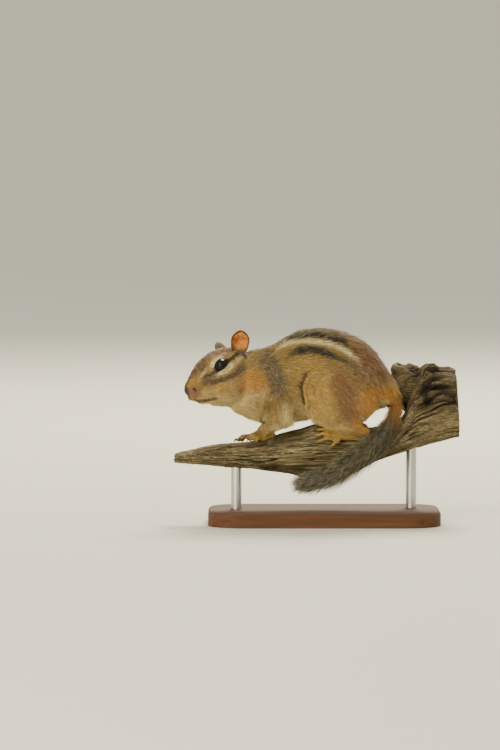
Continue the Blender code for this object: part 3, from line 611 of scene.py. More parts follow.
lids = {"open": 46, "wider": 15, "frontCorner": 12, "rearCorner": 10, "margin": 0.12, "darkCorners": 0.28}


def openingShare(points, side):
    # how far out from the eye's middle a point lies, as a share of the opening of the lids
    centre, look, forward, upward = eyeAxes(side)
    offset = (points - centre) * 1000
    reach = np.linalg.norm(offset, axis=1)
    away = np.degrees(np.arccos(np.clip(offset @ look / np.maximum(reach, 1e-9), -1, 1)))
    around = np.arctan2(offset @ upward, offset @ forward)
    facing = np.cos(around)
    opening = lids["open"] + lids["wider"] * facing**2
    opening += lids["frontCorner"] * np.maximum(0, facing) ** 6 + lids["rearCorner"] * np.maximum(0, -facing) ** 6
    return away / opening, reach, lids["darkCorners"] * np.abs(facing) ** 8


def shapeLids(points):
    for side in (-1, 1):
        centre = eyeAxes(side)[0]
        share, reach, _ = openingShare(points, side)
        near = (reach < eyePlace["radius"] + 3.2) & (share < 2.1)
        ball = eyePlace["radius"]
        inside = ball - 0.5 + 0.75 * ramp(share, 0.9, 1.0)
        rim = ball + 0.25 + lids["margin"] * np.exp(-(((share - 1.1) / 0.1) ** 2))
        lid = np.where(share < 1, inside, np.maximum(rim, ball + 0.2))
        keep = ramp(share, 1.12, 1.5)
        wanted = lid * (1 - keep) + np.maximum(reach, ball + 0.25) * keep
        way = unit(points - centre)
        points = np.where(near[:, None], centre + way * wanted[:, None] * 0.001, points)
    return points


# grooves of the face: back, up and depth in the head's frame, and how wide they are
faceGrooves = [
    {"line": [(2.4, -6.9), (5.3, -8.7), (8.2, -9.4), (11.3, -9.8), (14, -10.2), (16, -11)],
     "half": 0.5, "depth": 0.8, "fade": 0.12},
    {"line": [(3.4, -0.9), (4.3, -1.5), (4.7, -2.7), (4.1, -3.9)], "half": 0.4, "depth": 0.9, "fade": 0.3},
]
lips = {"upper": (8.5, -7.6, 4.0, 1.4), "lower": (9.5, -12.0, 4.2, 1.2), "swell": 0.3}


skinFolds = [  # on the body: a cut along a line and a swelling behind it
    {"line": [(2, 42.5), (-3.4, 37), (-5.3, 32), (-5, 27.8), (-3.8, 23), (-2.6, 19), (-1.4, 15)], "half": 1.9,
     "fade": 0.22, "depth": 1.5, "swell": 1.2, "beyond": 13},
]


def shapeBody(points, normals):
    body = carried(bodyMatrix.inverted(), points)
    out = np.zeros(len(points))
    for fold in skinFolds:
        beyond = ramp(np.abs(body[:, 1]), fold["beyond"] - 3, fold["beyond"])
        out -= fold["depth"] * strokeShare(body[:, [0, 2]], fold) * beyond
        behind = {**fold, "half": 2.6, "line": [(x + 3.4, z) for x, z in fold["line"]]}
        out += fold["swell"] * strokeShare(body[:, [0, 2]], behind) * beyond
    return points + normals * (out * 0.001)[:, None]


def shapeFace(points, normals):
    head = carried(headMatrix.inverted(), points)
    out = np.zeros(len(points))
    for groove in faceGrooves:
        cut = strokeShare(head[:, [0, 2]], {**groove, "half": groove["half"] * 1.3})
        out -= groove["depth"] * cut * (np.abs(head[:, 1]) > 1.2)
    for name in ("upper", "lower"):
        back, up, reachBack, reachUp = lips[name]
        spot = ((head[:, 0] - back) / reachBack) ** 2 + ((head[:, 2] - up) / reachUp) ** 2
        out += lips["swell"] * np.exp(-spot) * (np.abs(head[:, 1]) > 1)
    philtrum = np.exp(-((head[:, 1] / 0.45) ** 2)) * ramp(-head[:, 2], 3.4, 4.4) * (1 - ramp(-head[:, 2], 7.4, 8.6))
    out -= 0.55 * philtrum * (head[:, 0] < 6)
    return points + normals * (out * 0.001)[:, None]


def subdivideNear(obj, places):
    # cuts the faces near some points into four
    points = pointsOf(obj)
    near = np.zeros(len(points), bool)
    for place, reach in places:
        near |= np.linalg.norm(points - np.array(place), axis=1) < reach
    selectOnly(obj)
    bpy.ops.object.mode_set(mode="EDIT")
    bpy.ops.mesh.select_all(action="DESELECT")
    bpy.ops.object.mode_set(mode="OBJECT")
    corners = [near[list(face.vertices)].all() for face in obj.data.polygons]
    obj.data.polygons.foreach_set("select", np.array(corners))
    bpy.ops.object.mode_set(mode="EDIT")
    bpy.ops.mesh.select_mode(type="FACE")
    bpy.ops.mesh.subdivide(number_cuts=1, smoothness=0.6)
    bpy.ops.object.mode_set(mode="OBJECT")


def makeSkin():
    solids = [copyOfNode(name) for name in fleshNodes]
    for name in pawPlaces:
        solids += pawForms(name)
    solids.append(addStrand(bodyMatrix, tailRoute, 40))
    skin = joined("skin", solids)
    closeGaps = skinSize["closeGaps"] * 0.001
    applied(skin, "DISPLACE", strength=closeGaps, mid_level=0)
    balls = [copyOfNode(side + "_eye") for side in sides]
    skin = joined("skin", [skin, *balls])
    applied(skin, "REMESH", mode="VOXEL", voxel_size=skinSize["voxel"] * 0.001)
    applied(skin, "SMOOTH", factor=0.5, iterations=skinSize["smoothing"])
    for place in softened:
        matrix = bodyMatrix if place["on"] == "body" else headMatrix
        local = carried(matrix.inverted(), pointsOf(skin))
        reach = np.linalg.norm((local[:, [0, 2]] - place["at"]) / place["reach"], axis=1)
        group = skin.vertex_groups.new(name="softened")
        chosen = (reach < 1) & (np.abs(local[:, 1]) >= place["beyond"])
        group.add(np.flatnonzero(chosen).tolist(), 1.0, "REPLACE")
        applied(skin, "SMOOTH", factor=0.5, iterations=place["times"], vertex_group="softened")
        skin.vertex_groups.clear()
    points, normals = pointsOf(skin), normalsOf(skin)
    _, length, lift = lieOfCoat(points, normals)
    depth = closeGaps + skinSize["coatDepth"] * length * np.sin(lift)
    setPoints(skin, points - normals * depth[:, None])
    applied(skin, "SMOOTH", factor=0.4, iterations=2)
    setPoints(skin, shapeBody(pointsOf(skin), normalsOf(skin)))
    eyes = [eyeAxes(side)[0] for side in (-1, 1)]
    muzzle = headMatrix @ Vector((5, 0, -3.5))
    subdivideNear(skin, [(muzzle, 0.0105)] + [(eye, 0.0066) for eye in eyes])
    points = shapeFace(pointsOf(skin), normalsOf(skin))
    setPoints(skin, shapeLids(points))
    body = carried(bodyMatrix.inverted(), pointsOf(skin))
    head = carried(headMatrix.inverted(), pointsOf(skin))
    fine = (head[:, 0] < 38) | (body[:, 2] < 7)
    group = skin.vertex_groups.new(name="coarser")
    group.add(np.flatnonzero(~fine).tolist(), 1.0, "REPLACE")
    applied(skin, "DECIMATE", ratio=skinSize["keptUnderCoat"], vertex_group="coarser")
    applied(skin, "DECIMATE", ratio=skinSize["kept"])
    skin.vertex_groups.clear()
    smoothShaded(skin)
    return skin


def bareShare(points):
    # where no hair grows: the eye's opening, the edge of the lids and the nose
    head = carried(headMatrix.inverted(), points)
    bare = np.zeros(len(points))
    for side in (-1, 1):
        share, reach, corner = openingShare(points, side)
        bare = np.maximum(bare, (1 - ramp(share - corner, 1.03, 1.1)) * (reach < eyePlace["radius"] + 2.5))
    offset = (head - nosePad["centre"]) / nosePad["radii"]
    nostril = strokeShare(head[:, [0, 2]], {**faceGrooves[1], "half": 0.8}) * (np.abs(head[:, 1]) > 1)
    return np.maximum.reduce([bare, 1 - ramp(np.linalg.norm(offset, axis=1), 0.95, 1.15), nostril])


def markSkin(skin):
    points, normals = pointsOf(skin), normalsOf(skin)
    for name, values in markings(points, normals).items():
        setAttribute(skin.data, name, values)
    setAttribute(skin.data, "bare", bareShare(points))
    head = carried(headMatrix.inverted(), points)
    front = 1 - ramp(head[:, 0] + 0.35 * np.abs(head[:, 1]) - 0.25 * head[:, 2], 2.0, 3.8)
    setAttribute(skin.data, "noseTip", front)
    # the mouth's groove and the nostrils get a mark that darkens them: painted shade in these cuts
    cuts = [strokeShare(head[:, [0, 2]], groove) * (np.abs(head[:, 1]) > 1) for groove in faceGrooves]
    setAttribute(skin.data, "groove", np.maximum(0.55 * cuts[0], cuts[1]) * (head[:, 0] < 20))
    body = carried(bodyMatrix.inverted(), points)
    tail = smoothRows(tailRoute, 40)[6:, :3]
    distance = np.sqrt(((body[:, None, :] - tail[None, :, :]) ** 2).sum(axis=2)).min(axis=1)
    setAttribute(skin.data, "tailCore", 1 - ramp(distance, 3.4, 4.6))


print("skin")
skin = makeSkin()
markSkin(skin)
print("skin has", len(trianglesOf(skin)), "triangles")


# Unwrap of a coarser copy of the skin, which the hair's map for baking reads

def unwrappedCopy(skin, faces=6000):
    selectOnly(skin)
    bpy.ops.object.duplicate()
    coarse = bpy.context.object
    applied(coarse, "DECIMATE", ratio=faces / len(coarse.data.polygons))
    selectOnly(coarse)
    bpy.ops.object.mode_set(mode="EDIT")
    bpy.ops.mesh.select_all(action="SELECT")
    bpy.ops.mesh.quads_convert_to_tris()
    bpy.ops.uv.smart_project(angle_limit=math.radians(66), island_margin=0.002)
    bpy.ops.object.mode_set(mode="OBJECT")
    return coarse


def mapReader(coarse):
    points, corners = pointsOf(coarse), np.array([list(face.vertices) for face in coarse.data.polygons])
    maps = np.empty(len(coarse.data.loops) * 2)
    coarse.data.uv_layers.active.data.foreach_get("uv", maps)
    maps = maps.reshape(-1, 3, 2)
    tree = bvhtree.BVHTree.FromPolygons(points.tolist(), corners.tolist())
    bpy.data.objects.remove(coarse)

    def read(places):
        nearest = [tree.find_nearest(Vector(place)) for place in places]
        spots = np.array([found[0] for found in nearest])
        faces = np.array([found[2] for found in nearest])
        a, b, c = (points[corners[faces, i]] for i in range(3))
        whole = np.cross(b - a, c - a)
        size = (whole * whole).sum(axis=1)
        shareB = (np.cross(spots - a, c - a) * whole).sum(axis=1) / size
        shareC = (np.cross(b - a, spots - a) * whole).sum(axis=1) / size
        shares = np.column_stack([1 - shareB - shareC, shareB, shareC])
        return (maps[faces] * shares[:, :, None]).sum(axis=1)

    return read


# Tufts: closed three-sided locks that taper to a point, all of a piece in one mesh

def tuftTemplate(rings):
    faces = [(0, 2, 1)]
    for ring in range(rings - 1):
        for i in range(3):
            j = (i + 1) % 3
            a, b, c, d = ring * 3 + i, ring * 3 + j, ring * 3 + 3 + j, ring * 3 + 3 + i
            faces += [(a, b, c), (a, c, d)]
    last = (rings - 1) * 3
    faces += [(last + i, last + (i + 1) % 3, last + 3) for i in range(3)]
    return np.array(faces)


def growTufts(name, tufts, material, ringShares=(0, 0.5), widest=0.4, flatness=0.45):
    # tufts holds arrays: root, normal, way, length, lift, width, bend, map and marks
    count = len(tufts["root"])
    across = unit(np.cross(tufts["normal"], tufts["way"]))
    shares = np.array([*ringShares, 1.0])
    length, lift = tufts["length"][:, None], tufts["lift"][:, None]
    forward = length * shares * np.cos(lift)
    outward = length * np.sin(lift) * (1.5 * shares - 0.6 * shares**2) - 0.00015
    sideways = tufts["bend"][:, None] * length * shares**2
    spine = (
        tufts["root"][:, None, :]
        + tufts["way"][:, None, :] * forward[:, :, None]
        + tufts["normal"][:, None, :] * outward[:, :, None]
        + across[:, None, :] * sideways[:, :, None]
    )
    rings = len(ringShares)
    points = np.empty((count, rings * 3 + 1, 3))
    for ring, share in enumerate(ringShares):
        full = 0.6 + 0.4 * min(1, share / widest) if share < widest else 1 - 0.75 * (share - widest) / (1 - widest)
        half = tufts["width"][:, None] * 0.5 * full
        points[:, ring * 3] = spine[:, ring] - across * half
        points[:, ring * 3 + 1] = spine[:, ring] + across * half
        points[:, ring * 3 + 2] = spine[:, ring] + tufts["normal"] * half * 2 * flatness
    points[:, -1] = spine[:, -1]
    template = tuftTemplate(rings)
    each = rings * 3 + 1
    faces = (template[None, :, :] + (np.arange(count) * each)[:, None, None]).reshape(-1, 3)
    mesh = bpy.data.meshes.new(name)
    mesh.vertices.add(count * each)
    mesh.vertices.foreach_set("co", points.ravel())
    mesh.loops.add(faces.size)
    mesh.loops.foreach_set("vertex_index", faces.ravel().astype(np.int32))
    mesh.polygons.add(len(faces))
    mesh.polygons.foreach_set("loop_start", np.arange(0, faces.size, 3, dtype=np.int32))
    mesh.polygons.foreach_set("use_smooth", np.ones(len(faces), bool))
    mesh.update(calc_edges=True)
    pointShares = np.append(np.repeat(ringShares, 3), 1.0)
    setAttribute(mesh, "along", np.tile(pointShares, count))
    for mark, values in tufts["marks"].items():
        setAttribute(mesh, mark, np.repeat(values, each))
    patch = 0.003
    offsets = np.column_stack([(pointShares - 0.5) * patch, np.append(np.tile([-0.4, 0.4, 0], rings), 0) * patch])
    maps = (tufts["map"][:, None, :] + offsets[None, :, :]).reshape(-1, 2)
    layer = mesh.uv_layers.new(name="OFBake")
    layer.data.foreach_set("uv", maps[faces.ravel()].ravel())
    mesh.materials.append(material)
    piece = bpy.data.objects.new(name, mesh)
    bpy.context.scene.collection.objects.link(piece)
    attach(piece, "root")
    return piece


# Finishes of the coat

coatColours = {
    "base": "#9d7e3b",
    "golden": "#c6a14a",
    "grey": "#6a5836",
    "rufous": "#8a572a",
    "orange": "#c88a2e",
    "pale": "#e2c888",
    "rosy": "#825a40",
    "pink": "#7f5843",
    "brown": "#57401f",
    "cream": "#e6d6a0",
    "dark": "#1d1712",
}


def coatColour(tree, colours):
    colour = hexColour(colours["base"])
    start = addNode(tree, "ShaderNodeRGB")
    start.outputs[0].default_value = colour
    colour = start.outputs[0]
    for mark in markNames:
        colour = mixColour(tree, readMark(tree, mark), colour, colours[mark])
    return colour


def hairMaterial(name, colours, bands):
    # agouti hair: dark at the root, the coat's colour above, and some tips black or pale; soft, with a faint sheen
    material, tree, shader = startMaterial(
        name, Roughness=0.62, Specular_IOR_Level=0.28, IOR=1.55, Sheen_Weight=0.22, Sheen_Roughness=0.45
    )
    colour = coatColour(tree, colours)
    along, tone, ticking = (readMark(tree, mark) for mark in ("along", "tone", "ticking"))
    root = combine(tree, "SUBTRACT", 1.0, combine(tree, "MULTIPLY", along, bands["rootFade"]))
    root = combine(tree, "MULTIPLY", combine(tree, "MAXIMUM", root, 0.0), bands["root"])
    colour = mixColour(tree, root, colour, bands["rootColour"])
    tip = addNode(tree, "ShaderNodeMapRange", [(along, "Value")], From_Min=0.4, From_Max=0.85).outputs["Result"]
    grizzle = combine(tree, "ADD", readMark(tree, "grey"), combine(tree, "MULTIPLY", readMark(tree, "rosy"), 0.6))
    blackFrom = combine(tree, "MULTIPLY_ADD", grizzle, -bands["grizzle"], 1 - bands["blackTips"])
    paleUpTo = combine(tree, "MULTIPLY_ADD", grizzle, bands["grizzle"], bands["paleTips"])
    black = combine(tree, "MULTIPLY", tip, combine(tree, "GREATER_THAN", ticking, blackFrom))
    pale = combine(tree, "MULTIPLY", tip, combine(tree, "LESS_THAN", ticking, paleUpTo))
    colour = mixColour(tree, combine(tree, "MULTIPLY", black, bands["blackShare"]), colour, bands["black"])
    colour = mixColour(tree, combine(tree, "MULTIPLY", pale, bands["paleShare"]), colour, bands["pale"])
    vary = addNode(tree, "ShaderNodeHueSaturation", [(colour, "Color")])
    value = addNode(tree, "ShaderNodeMapRange", [(tone, "Value")], To_Min=0.72, To_Max=1.28).outputs["Result"]
    tree.links.new(value, vary.inputs["Value"])
    tree.links.new(vary.outputs["Color"], shader.inputs["Base Color"])
    return material


furBands = {
    "root": 0.6, "rootFade": 1.7, "rootColour": "#33281d",
    "blackTips": 0.13, "blackShare": 0.75, "black": "#1f1711",
    "paleTips": 0.15, "paleShare": 0.6, "pale": "#e3d4ad", "grizzle": 0.22,
}
furMaterial = hairMaterial("agouti_fur", coatColours, furBands)


def skinMaterial():
    # short underfur over skin: matt, with a fine nap along the body; under the coat it is darkened, partly the
    # underfur's own dark colour and partly painted shade between the hairs, and it is darker in the tail's core; bare
    # skin of nose and lids is darker and moist
    material, tree, shader = startMaterial("underfur_and_skin", Specular_IOR_Level=0.2)
    colour = coatColour(tree, coatColours)
    place = addNode(tree, "ShaderNodeTexCoord").outputs["Object"]
    nap = addNode(
        tree, "ShaderNodeMapping", [(place, "Vector")], Scale=(500, 1700, 1700)
    ).outputs["Vector"]
    strands = addNode(tree, "ShaderNodeTexNoise", [(nap, "Vector")], Scale=1.0, Detail=3.0, Roughness=0.6)
    shade = addNode(
        tree, "ShaderNodeMapRange", [(strands.outputs["Fac"], "Value")], From_Min=0.3, From_Max=0.7
    ).outputs["Result"]
    # darkened under the coat: partly the underfur's own dark colour, partly painted shade between the hairs
    under = mixColour(tree, combine(tree, "MULTIPLY_ADD", shade, 0.4, 0.3), colour, "#3f2f1d")
    under = mixColour(tree, readMark(tree, "tailCore"), under, "#33241a")
    pad = mixColour(tree, readMark(tree, "noseTip"), "#7c5642", "#302d2d")
    pebbles = addNode(tree, "ShaderNodeTexVoronoi", [(place, "Vector")], Scale=4200)
    pad = mixColour(tree, combine(tree, "MULTIPLY", pebbles.outputs["Distance"], 0.5), pad, "#3a2a24")
    eyelid = readMark(tree, "eyelid")
    bare = mixColour(tree, eyelid, pad, "#15100e")
    bareMark = readMark(tree, "bare")
    colour = mixColour(tree, bareMark, under, bare)
    # the grooves' mark darkens the mouth line and the nostrils: painted shade
    tree.links.new(mixColour(tree, readMark(tree, "groove"), colour, "#120b09"), shader.inputs["Base Color"])
    rough = addNode(tree, "ShaderNodeMapRange", [(bareMark, "Value")], To_Min=0.85, To_Max=0.55)
    tree.links.new(rough.outputs["Result"], shader.inputs["Roughness"])
    onNose = combine(tree, "MULTIPLY", bareMark, combine(tree, "SUBTRACT", 1.0, eyelid))
    height = combine(tree, "MULTIPLY_ADD", pebbles.outputs["Distance"], onNose, strands.outputs["Fac"])
    bump = addNode(tree, "ShaderNodeBump", [(height, "Height")], Strength=0.5, Distance=0.0003)
    tree.links.new(bump.outputs["Normal"], shader.inputs["Normal"])
    return material


skin.data.materials.append(skinMaterial())
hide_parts(*fleshNodes, *pawPlaces, "tail_upper", "tail_lower")
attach(skin, "root")
eyelid = np.zeros(len(skin.data.vertices))
for side in (-1, 1):
    share, reach, _ = openingShare(pointsOf(skin), side)
    eyelid = np.maximum(eyelid, (share < 1.6) & (reach < eyePlace["radius"] + 2))
setAttribute(skin.data, "eyelid", eyelid)

# Coat of the head, body and legs

coatSize = {
    "tufts": 127000, "width": 0.08, "widthByLength": 0.026, "densest": 18.0, "faceExtra": 0.9, "partingExtra": 1.5,
    "lockSize": 1.7, "gather": 0.55,
}
readMap = mapReader(unwrappedCopy(skin))


def scattered(obj, density, seed, count=None):
    # points spread over an object by a density per square millimetre, or by count in its proportions
    draw = np.random.default_rng(seed)
    points, normals, corners = pointsOf(obj), normalsOf(obj), trianglesOf(obj)
    a, b, c = (points[corners[:, i]] for i in range(3))
    area = np.linalg.norm(np.cross(b - a, c - a), axis=1) * 0.5e6
    wanted = area * density((a + b + c) / 3, unit(normals[corners].mean(axis=1)))
    total = np.cumsum(wanted)
    count = count or int(total[-1])
    chosen = np.searchsorted(total, (np.arange(count) + draw.random(count)) / count * total[-1])
    chosen = np.minimum(chosen, len(corners) - 1)
    share = draw.random((count, 2))
    share = np.where(share.sum(axis=1, keepdims=True) > 1, 1 - share, share)
    weights = np.column_stack([1 - share.sum(axis=1), share])
    spots = (points[corners[chosen]] * weights[:, :, None]).sum(axis=1)
    return spots, unit((normals[corners[chosen]] * weights[:, :, None]).sum(axis=1))


def tuftWidth(length):
    return (coatSize["width"] + coatSize["widthByLength"] * length * 1000) * 0.001


def coatDensity(points, normals):
    _, length, lift = lieOfCoat(points, normals)
    onTail = carried(bodyMatrix.inverted(), points)[:, 2] < -1.5
    density = np.minimum(7.2e-6 / (length * tuftWidth(length)), coatSize["densest"])
    onFace = 1 - ramp(carried(headMatrix.inverted(), points)[:, 0], 22, 34)
    more = 1 + coatSize["faceExtra"] * onFace + coatSize["partingExtra"] * ramp(lift, 0.38, 0.65)
    return density * (1 - bareShare(points)) * np.where(onTail, 0.5, 1) * more


def nearestLock(roots, size):
    # hair gathers in locks: the number of each root's lock, and where it stands
    cells = np.floor(roots / (size * 0.001)).astype(int)
    _, firsts = np.unique(cells, axis=0, return_index=True)
    locks = kdtree.KDTree(len(firsts))
    for i, first in enumerate(firsts):
        locks.insert(Vector(roots[first]), i)
    locks.balance()
    number = np.array([locks.find(Vector(root))[1] for root in roots])
    return number, roots[firsts][number]


def makeCoat(skin):
    draw = np.random.default_rng(11)
    root, normal = scattered(skin, coatDensity, 5, coatSize["tufts"])
    way, length, lift = lieOfCoat(root, normal)
    count = len(root)
    inBody = carried(bodyMatrix.inverted(), root)
    across = np.cross(normal, way)
    turn = 0.26 * wander(inBody, 8, 1) + 0.14 * wander(inBody, 2.6, 2) + draw.normal(0, 0.07, count)
    way = unit(way + across * turn[:, None])
    lock, middle = nearestLock(root, coatSize["lockSize"])
    draws = draw.random((lock.max() + 1, 3))[lock]
    gather = coatSize["gather"] * (middle - root) * ramp(length, 0.0015, 0.004)[:, None]
    gather -= normal * (gather * normal).sum(axis=1, keepdims=True)
    length = length * draw.uniform(0.75, 1.15, count) * (0.85 + 0.3 * draws[:, 0])
    way = unit(way * length[:, None] + gather)
    middleOfTuft = carried(bodyMatrix.inverted(), root + way * (length * 0.45)[:, None])
    spots = middleOfTuft + draw.normal(0, 0.3, root.shape)
    tufts = {
        "root": root,
        "normal": normal,
        "way": way,
        "length": length,
        "lift": lift * draw.uniform(0.7, 1.3, count) * (0.7 + 0.6 * draws[:, 1]),
        "width": tuftWidth(length) * draw.uniform(0.7, 1.3, count),
        "bend": draw.normal(0, 0.08, count),
        "map": readMap(root),
        "marks": markings(carried(bodyMatrix, spots), normal),
    }
    tufts["marks"]["tone"] = np.clip(0.5 + 0.5 * (draws[:, 2] - 0.5) + draw.normal(0, 0.16, count), 0, 1)
    tufts["marks"]["ticking"] = np.clip(0.5 + 0.75 * wander(inBody, 1.3, 6) + draw.normal(0, 0.22, count), 0, 1)
    return tufts


def chosenTufts(tufts, chosen):
    part = {name: values[chosen] for name, values in tufts.items() if name != "marks"}
    part["marks"] = {mark: values[chosen] for mark, values in tufts["marks"].items()}
    return part


print("coat")
coat = makeCoat(skin)
coatBands = ["face", "cheeks", "neck", "shoulders", "chest_and_belly", "flanks", "haunches", "rump"]
order = np.argsort(coat["root"][:, 0])
for bandName, chosen in zip(coatBands, np.array_split(order, len(coatBands))):
    growTufts("coat_" + bandName, chosenTufts(coat, chosen), furMaterial)
print("coat has", len(order), "tufts")


# Hair of the tail

tailHair = {"count": 12000, "longest": 15.5, "width": 0.19, "spread": 34, "beginsAt": 0.02}


def makeTailHair():
    draw = np.random.default_rng(23)
    count = tailHair["count"]
    rows = smoothRows(tailRoute, 200)
    ways = unit(np.gradient(rows[:, :3], axis=0))
    share = tailHair["beginsAt"] + (1 - tailHair["beginsAt"]) * draw.random(count) ** 0.9
    at = np.clip((share * 199).astype(int), 0, 199)
    along = ways[at]
    up = unit(np.array([0, 0, 1.0]) - along * along[:, 2:3])
    across = np.cross(along, up)
    angle = draw.random(count) * math.tau
    out = up * np.cos(angle)[:, None] + across * np.sin(angle)[:, None]
    spots = rows[at, :3] + out * (rows[at, 3] * 0.8)[:, None]
    full = ramp(share, 0.0, 0.42)
    length = (3.5 + (tailHair["longest"] - 3.5) * full) * draw.uniform(0.7, 1.1, count)
    length = length * (1 - 0.25 * ramp(share, 0.85, 1))
    lift = np.radians(tailHair["spread"] - 10 * share) * draw.uniform(0.25, 1.3, count)
    root = carried(bodyMatrix, spots)
    zeros = {mark: np.zeros(count) for mark in markNames}
    zeros["tone"] = np.clip(draw.normal(0.5, 0.18, count), 0, 1)
    zeros["ticking"] = draw.random(count)
    zeros["rufous"] = 1 - ramp(share, 0.1, 0.3)
    return {
        "share": share,
        "root": root,
        "normal": out,
        "way": along,
        "length": length * 0.001,
        "lift": lift,
        "width": tailHair["width"] * 0.001 * draw.uniform(0.7, 1.3, count),
        "bend": draw.normal(0, 0.10, count),
        "map": readMap(root),
        "marks": zeros,
    }


def tailMaterial():
    # long banded hair: rufous near the skin, black above, with frosted tips
    material, tree, shader = startMaterial(
        "banded_tail_hair", Roughness=0.55, Specular_IOR_Level=0.3, IOR=1.55, Sheen_Weight=0.2, Sheen_Roughness=0.4
    )
    along, tone, ticking = (readMark(tree, mark) for mark in ("along", "tone", "ticking"))
    shifted = combine(tree, "MULTIPLY_ADD", ticking, 0.2, along)
    bands = addNode(tree, "ShaderNodeValToRGB", [(shifted, "Fac")])
    stops = [(0, "#5e3f20"), (0.28, "#765026"), (0.44, "#2c2112"), (0.86, "#1a140c"), (1, "#b4aa80")]
    while len(bands.color_ramp.elements) < len(stops):
        bands.color_ramp.elements.new(0.5)
    for element, (place, code) in zip(bands.color_ramp.elements, stops):
        element.position = place
        element.color = hexColour(code)
    colour = mixColour(tree, readMark(tree, "rufous"), bands.outputs["Color"], "#a8752f")
    vary = addNode(tree, "ShaderNodeHueSaturation", [(colour, "Color")])
    value = addNode(tree, "ShaderNodeMapRange", [(tone, "Value")], To_Min=0.7, To_Max=1.35).outputs["Result"]
    tree.links.new(value, vary.inputs["Value"])
    tree.links.new(vary.outputs["Color"], shader.inputs["Base Color"])
    return material


print("tail")
tailTufts = makeTailHair()
tailFinish = tailMaterial()
halves = np.array_split(np.argsort(tailTufts["share"]), 2)
for nodeName, chosen in zip(("tail_upper", "tail_lower"), halves):
    hair = growTufts(nodeName + "_hair", chosenTufts(tailTufts, chosen), tailFinish, (0, 0.33, 0.7))
    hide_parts(nodeName)


# Eyes

eyeShape = {"segments": 48, "bulge": 0.18}


def eyeMaterial():
    # wet cornea over a nearly black iris: a clear sharp highlight
    material, tree, shader = startMaterial(
        "wet_dark_eye", Roughness=0.03, IOR=1.36, Specular_IOR_Level=0.32
    )
    iris = addNode(tree, "ShaderNodeValToRGB", [(readMark(tree, "fromPupil"), "Fac")])
    stops = [(0.0, "#040404"), (0.5, "#050505"), (0.56, "#130c08"), (0.8, "#0d0806"), (1.0, "#040303")]
    while len(iris.color_ramp.elements) < len(stops):
        iris.color_ramp.elements.new(0.5)
    for element, (place, code) in zip(iris.color_ramp.elements, stops):
        element.position = place
        element.color = hexColour(code)
    tree.links.new(iris.outputs["Color"], shader.inputs["Base Color"])
    return material


def makeEye(name, side, material):
    centre, look, _, _ = eyeAxes(side)
    segments = eyeShape["segments"]
    bpy.ops.object.select_all(action="DESELECT")
    bpy.ops.mesh.primitive_uv_sphere_add(segments=segments, ring_count=segments // 2, radius=1)
    eye = bpy.context.object
    eye.name = name
    ways = pointsOf(eye)
    facing = ways @ look
    reach = eyePlace["radius"] + eyeShape["bulge"] * ramp(facing, 0.75, 1.0)
    setPoints(eye, centre + ways * (reach * 0.001)[:, None])
    setAttribute(eye.data, "fromPupil", np.arccos(np.clip(facing, -1, 1)) / math.radians(60))
    smoothShaded(eye)
    eye.data.materials.append(material)
    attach(eye, "root")
    return eye


print("eyes")
eyeFinish = eyeMaterial()
for word, side in sides.items():
    eye = makeEye(word + "_eyeball", side, eyeFinish)
    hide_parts(word + "_eye")


# Ears: an open cup each, with its rim rolled in, and hair on its back and edge

earSize = {"height": 15.0, "width": 10.8, "depth": 4.6, "wall": 0.45, "rim": 0.55}
earPlaces = {
    "left": ((36.6, -11.2, 15.4), (0.42, -0.22, 1.0), (-0.40, -0.90, 0.0)),
    "right": ((33.4, 11.6, 13.8), (0.12, 0.42, 1.0), (-0.55, 0.80, -0.2)),
}


def earMaterial():
    # thin skin, warm orange where the light comes through, with a darker edge, painted shade deep in the cup, and a
    # haired back
    skin, tree, shader = startMaterial(
        "thin_ear_skin", Roughness=0.8, Specular_IOR_Level=0.08,
        Subsurface_Weight=0.15, Subsurface_Scale=0.001, Subsurface_Radius=(1, 0.45, 0.25),
    )
    place = addNode(tree, "ShaderNodeTexCoord").outputs["Object"]
    blotches = addNode(tree, "ShaderNodeTexNoise", [(place, "Vector")], Scale=330, Detail=4.0, Roughness=0.65)
    mottled = addNode(tree, "ShaderNodeMapRange", [(blotches.outputs["Fac"], "Value")], From_Min=0.38, From_Max=0.62)
    colour = mixColour(tree, mottled.outputs["Result"], "#bb7f3e", "#8a5029")
    # painted shade deep in the cup
    colour = mixColour(tree, readMark(tree, "earCupShade"), colour, "#4f3423")
    colour = mixColour(tree, readMark(tree, "earRim"), colour, "#3f2c1c")
    down = addNode(tree, "ShaderNodeTexNoise", [(place, "Vector")], Scale=3000, Detail=2.0)
    back = mixColour(tree, down.outputs["Fac"], "#33261c", "#5c4734")
    tree.links.new(mixColour(tree, readMark(tree, "earBack"), colour, back), shader.inputs["Base Color"])
    bump = addNode(tree, "ShaderNodeBump", [(down.outputs["Fac"], "Height")], Strength=0.3, Distance=0.0001)
    tree.links.new(bump.outputs["Normal"], shader.inputs["Normal"])
    return skin


